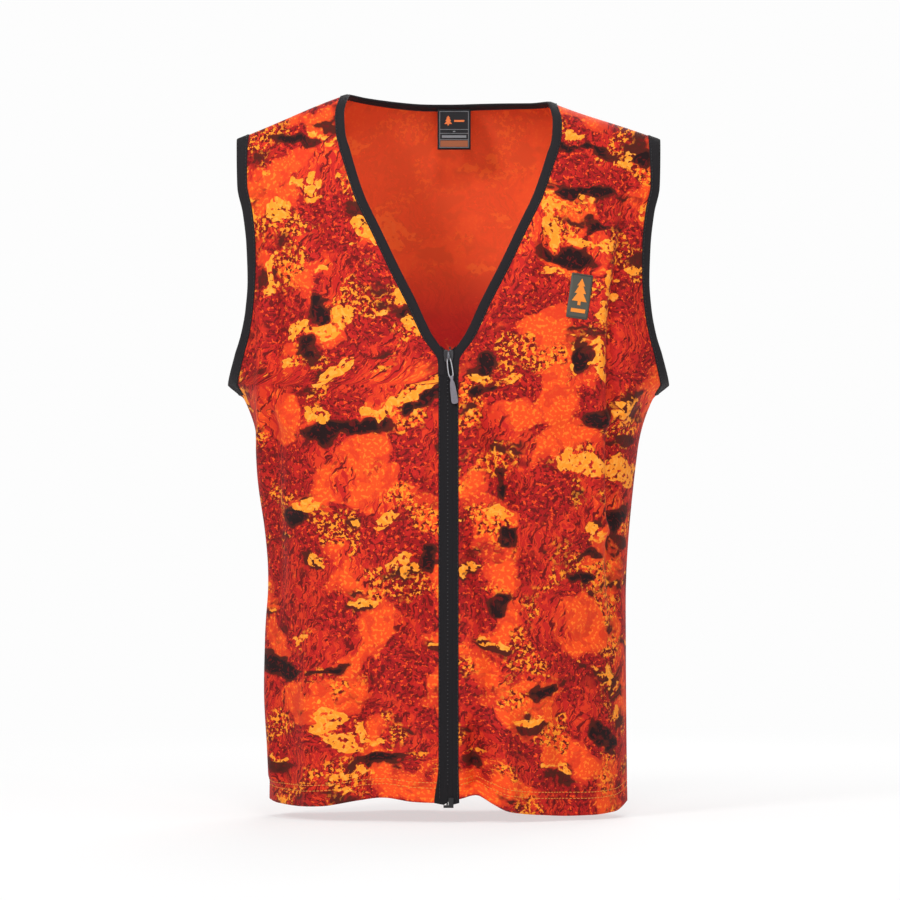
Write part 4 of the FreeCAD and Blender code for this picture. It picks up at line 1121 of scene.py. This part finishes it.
# Section across a tape, from its inner edge to its outer one and back behind the teeth: distance
# from the middle of the zip, and distance in front of the middle of the tapes.
TAPE_SECTION = [
    (0.00045, 0.00138), (0.00070, 0.00143), (0.00150, 0.00152), (0.00260, 0.00150),
    (0.00340, 0.00138), (0.00390, 0.00105), (0.00460, 0.00092), (0.00540, 0.00108),
    (0.00700, 0.00105), (0.00880, 0.00112), (0.00985, 0.00100), (0.01000, 0.00040),
    (0.00980, -0.00010), (0.00700, -0.00005), (0.00400, -0.00010), (0.00240, -0.00020),
    (0.00236, 0.00120), (0.00120, 0.00132),
]
# How far the left tape's edge laps over the middle, and how far each tape widens at its foot.
TAPE_OVERLAP = {"left": 0.00095, "right": 0.0}
TAPE_SPREAD = {"left": 0.0008, "right": 0.0042}


def make_tape(hand):
    """Woven tape with a raised edge that covers most of the teeth, and a slanted lower end."""
    sign = SIGNS[hand]
    foot = TAPE_LOW.z
    highs = even(foot + 0.003, 0.452, 0.006)
    highs = np.concatenate([[foot, foot + 0.0007], highs, even(0.455, TAPE_HIGH.z, 0.0015)])
    opening = ramp(highs, SLIDER_HIGH.z - 0.004, TAPE_HIGH.z)
    flare = 1 - ramp(highs, foot, foot + 0.040)
    points = []
    inner, outer = TAPE_SECTION[0][0], TAPE_SECTION[11][0]
    for reach, front in TAPE_SECTION:
        share = (reach - inner) / (outer - inner)
        narrowed = 1 - 0.42 * ramp(highs, SLIDER_LOW.z, TAPE_HIGH.z)
        overlap = TAPE_OVERLAP[hand] * (1 - ramp(reach, 0.001, 0.003)) * (1 - opening)
        x = inner + (reach - inner) * narrowed - overlap
        x = x + 0.0016 * opening + TAPE_SPREAD[hand] * share * flare
        notch = 0.0040 * max(0.0, 1 - share / 0.30) + 0.0028 * share - 0.0008
        z = highs + notch * (1 - ramp(highs, foot, foot + 0.012))
        z = z + (0.005 * share - 0.003) * opening
        points.append(np.stack([sign * x, ZIP_Y - np.full_like(x, front), z], axis=-1))
    rings = np.stack(points, axis=1)
    made = make_strip(f"zip_{hand}_tape_cloth", rings, TAPE)
    return made


def make_tape_stitches(hand):
    sign = SIGNS[hand]
    z = even(TAPE_LOW.z + 0.006, 0.446, 0.004)
    line = np.stack([np.full_like(z, sign * 0.0090), np.full_like(z, ZIP_Y - 0.00108), z], -1)
    row = (line, np.tile([0.0, -1.0, 0.0], (len(z), 1)))
    return make_stitches(f"zip_stitches_{hand}", [row], BLACK_THREAD)


def make_tooth_tips():
    """Tips of the right-hand teeth, which just show beside the raised edge of the tape."""
    low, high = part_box("zip_teeth_right")
    count = int((high.z - low.z) / TOOTH_PITCH)
    rows = []
    for i in range(count):
        z = low.z + (i + 0.5) * TOOTH_PITCH
        line = np.array([[-0.0017, ZIP_Y - 0.00112, z], [-0.0001, ZIP_Y - 0.00112, z]])
        rows.append((line, np.tile([0.0, -1.0, 0.0], (2, 1))))
    return make_stitches("zip_tooth_tips", rows, TOOTH_TIP, long=0.0016, gap=0.0, radius=0.00046)


# --- slider, link and pull ----------------------------------------------------------------------

def offset_outline(outline, inset):
    """Outline moved inward by an inset along its corners' own directions."""
    points = np.array(outline, float)
    before = points - np.roll(points, 1, axis=0)
    after = np.roll(points, -1, axis=0) - points
    tangent = unit(unit(before) + unit(after))
    inward = np.stack([-tangent[:, 1], tangent[:, 0]], axis=1)
    return points + inward * inset


def rounded_solid(outline, place, thick, bevel):
    """Points and faces of a flat solid with rounded rims; outlines run anticlockwise."""
    rings = [(bevel, 0.0), (bevel * 0.3, bevel * 0.3), (0.0, bevel), (0.0, thick - bevel)]
    rings += [(bevel * 0.3, thick - bevel * 0.3), (bevel, thick)]
    points = [place(*offset_outline(outline, inset).T, height) for inset, height in rings]
    return np.concatenate(points), tube_faces(len(rings), len(outline))


def sweep(path, across, half_wide, half_thick, closed=False):
    """Solid with a rounded section along a path; across is the section's wide direction."""
    path = np.asarray(path, float)
    if closed:
        along = np.roll(path, -1, axis=0) - np.roll(path, 1, axis=0)
    else:
        along = np.gradient(path, axis=0)
    along = unit(along)
    across = np.asarray(across, float)
    wide = unit(across - along * (along @ across)[:, None])
    thick = np.cross(along, wide)
    sides = 12
    turn = np.linspace(0, 2 * math.pi, sides + 1)[:-1]
    blunt = np.maximum(np.abs(np.cos(turn)), np.abs(np.sin(turn))) ** 0.6
    ring = (np.cos(turn) / blunt)[None, :, None] * wide[:, None] * half_wide
    ring = ring + (np.sin(turn) / blunt)[None, :, None] * thick[:, None] * half_thick
    points = path[:, None] + ring
    faces = tube_faces(len(path), sides)
    if closed:
        last = (len(path) - 1) * sides
        join = [(last + i, last + (i + 1) % sides, (i + 1) % sides, i) for i in range(sides)]
        faces = faces[:-2] + join
    return points.reshape(-1, 3), faces


def facing(centre_x, foot, front_y):
    """Placing of outlines drawn from the front: across, up, and how far out towards the viewer."""
    def place(u, v, height):
        u, v = np.asarray(u), np.asarray(v)
        return np.stack([centre_x + u, np.full_like(u, front_y - height), foot + v], axis=-1)

    return place


def make_slider():
    half = (SLIDER_HIGH.x - SLIDER_LOW.x) / 2
    long = SLIDER_HIGH.z - SLIDER_LOW.z
    right = [
        (0.70, 0.0), (0.84, 0.06), (0.92, 0.30), (1.0, 0.52), (1.0, 0.80), (0.90, 0.93),
        (0.62, 1.0), (0.30, 0.985), (0.14, 0.93),
    ]
    outline = [(u * half, v * long) for u, v in right]
    outline += [(-u, v) for u, v in reversed(outline)]
    plate = 0.0014
    parts = []
    for front in (SLIDER_LOW.y + plate, SLIDER_HIGH.y):
        parts.append(rounded_solid(outline, facing(0.0, SLIDER_LOW.z, front), plate, 0.0004))
    post = [(-0.0011, 0.0070), (0.0011, 0.0070), (0.0013, 0.0110), (-0.0013, 0.0110)]
    deep = SLIDER_HIGH.y - SLIDER_LOW.y - plate
    place = facing(0.0, SLIDER_LOW.z, SLIDER_HIGH.y - plate / 2)
    parts.append(rounded_solid(post, place, deep, 0.0002))
    return joined_piece("slider_shell", parts, SLIDER_ENAMEL)


def make_crown():
    """Arched bridge on the slider's face that the link hangs from."""
    low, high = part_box("slider_crown")
    deep = high.y - low.y
    turn = np.linspace(-0.12, 1.12, 19) * math.pi
    y = high.y - np.maximum(np.sin(turn), -0.12) * (deep - 0.0006)
    z = (low.z + high.z) / 2 - np.cos(turn) * ((high.z - low.z) / 2 - 0.0006)
    path = np.stack([np.zeros_like(y), y, z], axis=-1)
    return joined_piece("slider_bridge", [sweep(path, (1, 0, 0), 0.0013, 0.0006)], SLIDER_METAL)


PULL_LEAN = math.radians(8)
PULL_TAB_OFFSET = 0.0022


def leaning(top, front_y):
    """Placing of outlines that hang down from a point and lean to the wearer's left."""
    def place(u, v, height):
        u, v = np.asarray(u), np.asarray(v)
        x = top[0] + u * math.cos(PULL_LEAN) - v * math.sin(PULL_LEAN)
        z = top[2] + u * math.sin(PULL_LEAN) + v * math.cos(PULL_LEAN)
        return np.stack([x, np.full_like(x, front_y - height), z], axis=-1)

    return place


def make_pull_link():
    low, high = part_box("pull_link")
    top = np.array([0.0, (low.y + high.y) / 2, high.z - 0.0006])
    half = (high.z - low.z - 0.0012) / math.cos(PULL_LEAN) / 2 - 0.0001
    turn = np.linspace(0, 2 * math.pi, 41)[:-1]
    across = np.sign(np.cos(turn)) * np.abs(np.cos(turn)) ** 0.7 * 0.0022
    drop = np.sign(np.sin(turn)) * np.abs(np.sin(turn)) ** 0.7 * half - half
    across = across * (1 + 0.25 * (-drop / (2 * half) - 0.5))
    path = leaning(top, top[1])(across, drop, 0.0)
    wire = sweep(path, (0, 1, 0), 0.0006, 0.0006, closed=True)
    return joined_piece("pull_loop", [wire], LINK_METAL)


def make_pull_tab():
    """Moulded grip with an eye at its top, a narrow neck, a rounded end and raised ribs."""
    low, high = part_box("pull_tab")
    top = np.array([low.x + PULL_TAB_OFFSET, 0.0, high.z])
    place = leaning(top, high.y - 0.0004)
    right = [
        (0.0, -0.0282), (0.0020, -0.0280), (0.0030, -0.0272), (0.0034, -0.0257),
        (0.0033, -0.0204), (0.0030, -0.0140), (0.0026, -0.0092), (0.0022, -0.0068),
        (0.0016, -0.0053), (0.0013, -0.0042), (0.0016, -0.0030), (0.0019, -0.0016),
        (0.0013, -0.0005), (0.0, -0.0001),
    ]
    outline = right + [(-u, v) for u, v in reversed(right[1:-1])]
    parts = [rounded_solid(outline, place, 0.0022, 0.0006)]
    for i in range(6):
        v = -0.0254 + 0.0030 * i
        reach = 0.0025 - 0.00012 * i
        rib = [(-reach, v), (reach, v), (reach, v + 0.0013), (-reach, v + 0.0013)]
        parts.append(rounded_solid(rib, leaning(top, high.y - 0.0024), 0.0006, 0.0003))
    return joined_piece("pull_grip", parts, PULL_RUBBER)


def make_allowance(hand):
    """Overlocked seam allowance inside the side seam, which also backs the seam as it opens."""
    sign = SIGNS[hand]
    highs = even(0.008, ARMPIT - 0.010, 0.006)
    reach = [-0.0030, 0.0006, 0.0030, 0.0056, 0.0080, 0.0080, 0.0056, 0.0030, 0.0006, -0.0030]
    stand = [-0.0009] * 4 + [-0.0010, -0.0019, -0.0021, -0.0021, -0.0020, -0.0017]
    rings = []
    for along, out in zip(reach, stand):
        angle = sign * (RIGHT_ANGLE - along / depth("back", highs))
        rings.append(cloth("back", angle, highs) + cloth_normal("back", angle, highs) * out)
    rings = np.stack(rings, axis=1)
    made = make_strip(f"side_allowance_{hand}", rings, LINING_MATERIAL)
    zigzag = np.linspace(HEM_HIGH + 0.0015, highs[-1], int((highs[-1] - HEM_HIGH) / 0.0030))
    in_and_out = np.where(np.arange(len(zigzag)) % 2 == 0, 0.0040, 0.0082)
    angle = sign * (RIGHT_ANGLE - in_and_out / depth("back", zigzag))
    inward = -cloth_normal("back", angle, zigzag)
    line = cloth("back", angle, zigzag) + inward * 0.0022
    name, rows = f"side_overlock_{hand}", [(line, inward)]
    return made, make_stitches(name, rows, SEAM_THREAD, long=0.0046, gap=0.0005, radius=0.0003)


# --- label and patch ---------------------------------------------------------------------------

def flat_shapes(name, shapes, place, thick, material, lift=0.0):
    """Raised flat shapes in one mesh: each an outline in (across, up), put in place as solids."""
    flat, heights, faces = [], [], []
    for outline in shapes:
        start, n = len(flat), len(outline)
        flat += outline * 2
        heights += [lift] * n + [lift + thick] * n
        faces.append(tuple(start + n + i for i in range(n)))
        faces.append(tuple(start + i for i in reversed(range(n))))
        for i in range(n):
            j = (i + 1) % n
            faces.append((start + i, start + j, start + n + j, start + n + i))
    u, v = np.array(flat).T
    made = new_piece(name, place(u, v, np.array(heights)), faces, [material], smooth=False)
    fix_normals(made)
    return made


def bar(left, low, right, high):
    return [(left, low), (right, low), (right, high), (left, high)]


def conifer(across, foot, high, wide):
    """Outline of a plain tree of three stacked triangles on a short trunk."""
    right = [
        (0.10, 0.0), (0.10, 0.14), (0.50, 0.14), (0.20, 0.44), (0.38, 0.44), (0.14, 0.72),
        (0.26, 0.72), (0.0, 1.0),
    ]
    left = [(-u, v) for u, v in reversed(right[:-1])]
    return [(across + u * wide, foot + v * high) for u, v in right + left]


LABEL_WIDE, LABEL_LONG = 0.0340, 0.0415
PATCH_WIDE, PATCH_LONG = 0.0215, 0.0450
LABEL_GRID = (21, 19)
PATCH_GRID = (21, 13)


def even_grid(rows, columns):
    """Points (across, up) of an even grid from -1 to 1 both ways, row by row."""
    v, u = np.meshgrid(np.linspace(-1, 1, rows), np.linspace(-1, 1, columns), indexing="ij")
    return np.stack([u.ravel(), v.ravel()], axis=-1)


def two_faced(name, front, back, grid, flat, material):
    """Thin piece from the points of its front and its back, with a rim and a flat map."""
    rows, columns = grid
    count = rows * columns
    faces = [
        grid_faces(rows, columns),
        grid_faces(rows, columns, count, True),
        rim_faces(rows, columns, count, False),
    ]
    points, uvs = np.concatenate([front, back]), np.tile(flat, (2, 1))
    made = new_piece(name, points, np.concatenate(faces), [material], uvs=uvs)
    fix_normals(made)
    return made


def make_label():
    """Woven label that hangs from the back neck, with plain generic marks on its face."""
    low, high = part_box("neck_label")
    middle_x, middle_y = (low.x + high.x) / 2, (low.y + high.y) / 2
    wide, long, foot = LABEL_WIDE, LABEL_LONG, low.z + 0.0050

    def place(u, v, height):
        u, v = np.asarray(u), np.asarray(v)
        curl = 0.0011 * ((u / (wide / 2)) ** 2) * (1 - v / long) + 0.0006 * (1 - v / long) ** 2
        return np.stack([middle_x + u, middle_y - height - curl, foot + v], axis=-1)

    flat = even_grid(*LABEL_GRID) * (wide / 2, long / 2) + (0.0, long / 2)
    faces = place(*flat.T, 0.0002), place(*flat.T, -0.0002)
    base = two_faced("neck_label_cloth", *faces, LABEL_GRID, flat, LABEL_CLOTH)
    edge, line = 0.0021, 0.0005
    left, right = -wide / 2 + edge, wide / 2 - edge
    frames = [
        bar(left, edge, left + line, long - edge), bar(right - line, edge, right, long - edge),
        bar(left, long - edge - line, right, long - edge), bar(left, edge, right, edge + line),
        bar(left, 0.0205, right, 0.0210), bar(left, 0.0165, right, 0.0170),
        bar(left, 0.0100, right, 0.0105), bar(-0.0012, 0.0182, 0.0012, 0.0193),
        bar(-0.0125, 0.0122, 0.0125, 0.0148),
    ]
    marks = [conifer(-0.006, 0.0250, 0.0100, 0.0080), bar(0.0000, 0.0285, 0.0105, 0.0305)]
    band = [bar(left + line + 0.0004, edge + line + 0.0004, right - line - 0.0004, 0.0094)]
    dashes = [bar(-0.012 + 0.0036 * i, 0.0052, -0.0096 + 0.0036 * i, 0.0068) for i in range(7)]
    return [
        base,
        flat_shapes("neck_label_lines", frames, place, 0.00022, LABEL_GREY, 0.0001),
        flat_shapes("neck_label_marks", marks, place, 0.00024, LABEL_ORANGE, 0.0001),
        flat_shapes("neck_label_band", band, place, 0.00024, LABEL_BROWN, 0.0001),
        flat_shapes("neck_label_dashes", dashes, place, 0.00034, LABEL_CLOTH, 0.0001),
    ]


def make_patch():
    """Flat badge sewn to the chest, leaning a little, with a generic tree and a plain bar."""
    low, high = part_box("chest_patch")
    centre = ((low.x + high.x) / 2, (low.z + high.z) / 2)
    lean = math.radians(-8)
    wide, long, corner = PATCH_WIDE, PATCH_LONG, 0.0003

    def place(u, v, height):
        x = centre[0] + u * math.cos(lean) - v * math.sin(lean)
        z = centre[1] + u * math.sin(lean) + v * math.cos(lean)
        angle, at = chart("front", x, z)
        point, normal = along_cloth("front", angle, at)
        return point + normal * np.broadcast_to(height, x.shape)[:, None]

    half_u, half_v = wide / 2, long / 2
    u, v = even_grid(*PATCH_GRID).T
    drop = 0.0004 * np.maximum(0, (np.maximum(np.abs(u), np.abs(v)) - 0.9) / 0.1) ** 2
    pull = np.where((np.abs(u) > 0.99) & (np.abs(v) > 0.99), corner, 0.0)
    a, b = u * (half_u - pull), v * (half_v - pull)
    flat = np.stack([a, b], axis=-1)
    faces = place(a, b, 0.0011 - drop), place(a, b, 0.0)
    base = two_faced("chest_patch_badge", *faces, PATCH_GRID, flat, PATCH_RUBBER)
    marks = [conifer(0.0, -0.0090, 0.0268, 0.0150), bar(-0.0072, -0.0166, 0.0072, -0.0128)]
    line = 0.00035
    u, v = half_u - 0.0012, half_v - 0.0012
    border = [
        bar(-u, -v, -u + line, v), bar(u - line, -v, u, v),
        bar(-u + line, v - line, u - line, v), bar(-u + line, -v, u - line, -v + line),
    ]
    return [
        base,
        flat_shapes("chest_patch_marks", marks, place, 0.0005, PATCH_ORANGE, 0.0009),
        flat_shapes("chest_patch_border", border, place, 0.0003, PATCH_EDGE, 0.0009),
    ]


# --- staging -----------------------------------------------------------------------------------

CAMERA_DISTANCE = 6.0
VIEW_WIDTH = 0.9135
VIEW_CENTRE = Vector((0.0015, 0.0, 0.3715))
SENSOR = 36.0
FLOOR_FADE = 1.9
FLOOR_GLOW = 0.6
FLOOR_RADIUS = 24.0
SURROUND = linear(253, 253, 253)


def make_stage():
    """Pale round floor that fades into an even pale surround, seen alike from every side."""
    ring = 96
    turn = np.linspace(0, 2 * math.pi, ring + 1)[:-1]
    points = [(0.0, 0.0, 0.0)]
    for radius in (0.6, 1.2, FLOOR_FADE, FLOOR_RADIUS):
        points += [(radius * math.cos(t), radius * math.sin(t), 0.0) for t in turn]
    faces = [(0, 1 + i, 1 + (i + 1) % ring) for i in range(ring)]
    faces += [tuple(1 + i for i in f) for f in grid_faces(4, ring, flip=True, closed=True)]
    shader = Shader("floor_paper")
    where = shader.place()
    colour = shader.mix(shader.noise(where, 3.0), linear(247, 247, 247), linear(250, 250, 250))
    shader.set(Base_Color=colour, Roughness=0.9, Specular_IOR_Level=0.1)
    reach = shader.node("ShaderNodeVectorMath", {0: where}, operation="LENGTH").outputs["Value"]
    fade = shader.node(
        "ShaderNodeMapRange",
        {"Value": reach, "From Min": 0.30, "From Max": FLOOR_FADE, "To Min": FLOOR_GLOW},
        interpolation_type="SMOOTHSTEP",
    )
    both = shader.node("ShaderNodeMixShader", {0: fade.outputs["Result"]})
    shader.put(both.inputs[1], shader.surface.outputs["BSDF"])
    shader.put(both.inputs[2], shader.glow(SURROUND))
    shader.output(both.outputs["Shader"])
    new_piece("floor", points, faces, [shader.material], smooth=False)

    work = bmesh.new()
    bmesh.ops.create_icosphere(work, subdivisions=4, radius=FLOOR_RADIUS)
    mesh = bpy.data.meshes.new("surround")
    work.to_mesh(mesh)
    work.free()
    dome = put_in_scene("surround", mesh)
    shader = Shader("surround_paper")
    shader.output(shader.glow(SURROUND))
    mesh.materials.append(shader.material)
    dome.visible_diffuse = False
    dome.visible_glossy = False
    dome.visible_transmission = False
    dome.visible_shadow = False


MIDDLE = (0.0, 0.0, 0.38)
# Name, place, target, side length and power of each square light.
LIGHTS = [
    ("key", (-1.6, -2.4, 1.9), MIDDLE, 0.7, 43.0),
    ("fill", (1.7, -2.6, 0.7), MIDDLE, 1.4, 14.0),
    ("top", (0.0, -0.4, 2.6), MIDDLE, 1.6, 15.0),
    ("neck", (0.05, -1.7, 1.75), (0.0, 0.09, 0.68), 0.4, 13.0),
    ("rear", (0.5, 2.5, 1.7), MIDDLE, 1.6, 54.0),
]
WORLD_STRENGTH = 0.27


def add_light(name, place, target, side, power):
    lamp = bpy.data.lights.new(name, "AREA")
    lamp.shape = "RECTANGLE"
    lamp.size = lamp.size_y = side
    lamp.energy = power
    holder = put_in_scene(name, lamp)
    holder.location = place
    holder.rotation_euler = (Vector(target) - Vector(place)).to_track_quat("-Z", "Y").to_euler()


def make_lights():
    for light in LIGHTS:
        add_light(*light)
    world = bpy.data.worlds.new("studio")
    world.use_nodes = True
    background = world.node_tree.nodes["Background"].inputs
    background["Color"].default_value = (1.0, 1.0, 1.0, 1.0)
    background["Strength"].default_value = WORLD_STRENGTH
    bpy.context.scene.world = world
    bpy.context.scene.view_settings.view_transform = "Standard"


def make_camera():
    camera = bpy.data.cameras.new("camera")
    camera.sensor_width = SENSOR
    camera.lens = CAMERA_DISTANCE * SENSOR / VIEW_WIDTH
    camera.clip_end = 60.0
    holder = put_in_scene("camera", camera)
    holder.location = VIEW_CENTRE + Vector((0.0, -CAMERA_DISTANCE, 0.0))
    holder.rotation_euler = (RIGHT_ANGLE, 0.0, 0.0)
    bpy.context.scene.camera = holder


# --- placing the pieces ------------------------------------------------------------------------


def bend_with(piece):
    """Keep a piece where it stands, with its placing baked into its points."""
    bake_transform(piece)


def settle(piece, hand, slot, *replaced):
    """Leave a piece in place, or let it ride on the back, and hide the parts it stands in for."""
    if hand == "back":
        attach(piece, "back")
    else:
        bend_with(piece)
    if replaced:
        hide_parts(*replaced)


make_camera()
make_stage()
make_lights()
settle(make_back(), "back", "shell", "back_panel")
settle(make_back_neck_binding(), "back", "binding", "neck_binding_back")
for hand, sign in SIGNS.items():
    settle(make_front(hand), hand, "shell", f"front_{hand}_panel")
    settle(make_armhole_binding(hand), hand, "binding", f"armhole_binding_{hand}")
    settle(make_neck_binding(hand), hand, "binding", f"neck_binding_{hand}")
    rows = hem_rows("front", sign * 0.062, sign * 1.545)
    thread = make_stitches(f"hem_thread_{hand}", rows, THREAD)
    settle(thread, hand, "thread", f"hem_topstitch_{hand}")
    settle(make_tape(hand), hand, "tape", f"zip_tape_{hand}")
    settle(make_tape_stitches(hand), hand, "thread")
    for piece in make_allowance(hand):
        settle(piece, "back", "shell")
rows = hem_rows("back", -1.545, 1.545)
settle(make_stitches("hem_thread_back", rows, THREAD), "back", "thread", "hem_topstitch_back")
for stitches, hand in make_binding_stitches():
    settle(stitches, hand, "thread")
settle(make_tooth_tips(), "right", "teeth")
for piece, body, slot, node in (
    (make_slider(), "slider", "slider_metal", "zip_slider_body"),
    (make_crown(), "slider", "slider_metal", "slider_crown"),
    (make_pull_link(), "link", "link_metal", "pull_link"),
    (make_pull_tab(), "tab", "pull_rubber", "pull_tab"),
):
    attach(piece, body)
    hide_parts(node)
for i, piece in enumerate(make_label()):
    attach(piece, "label")
    if i == 0:
        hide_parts("neck_label")
for i, piece in enumerate(make_patch()):
    settle(piece, "left", "patch", *(["chest_patch"] if i == 0 else []))

for name in (
    "zip_teeth_left", "zip_teeth_right", "zip_top_stop",
    "zip_retainer_pin", "zip_insertion_pin", "zip_retainer_box",
):
    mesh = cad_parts[name].data
    mesh.materials.clear()
    mesh.materials.append(TEETH)
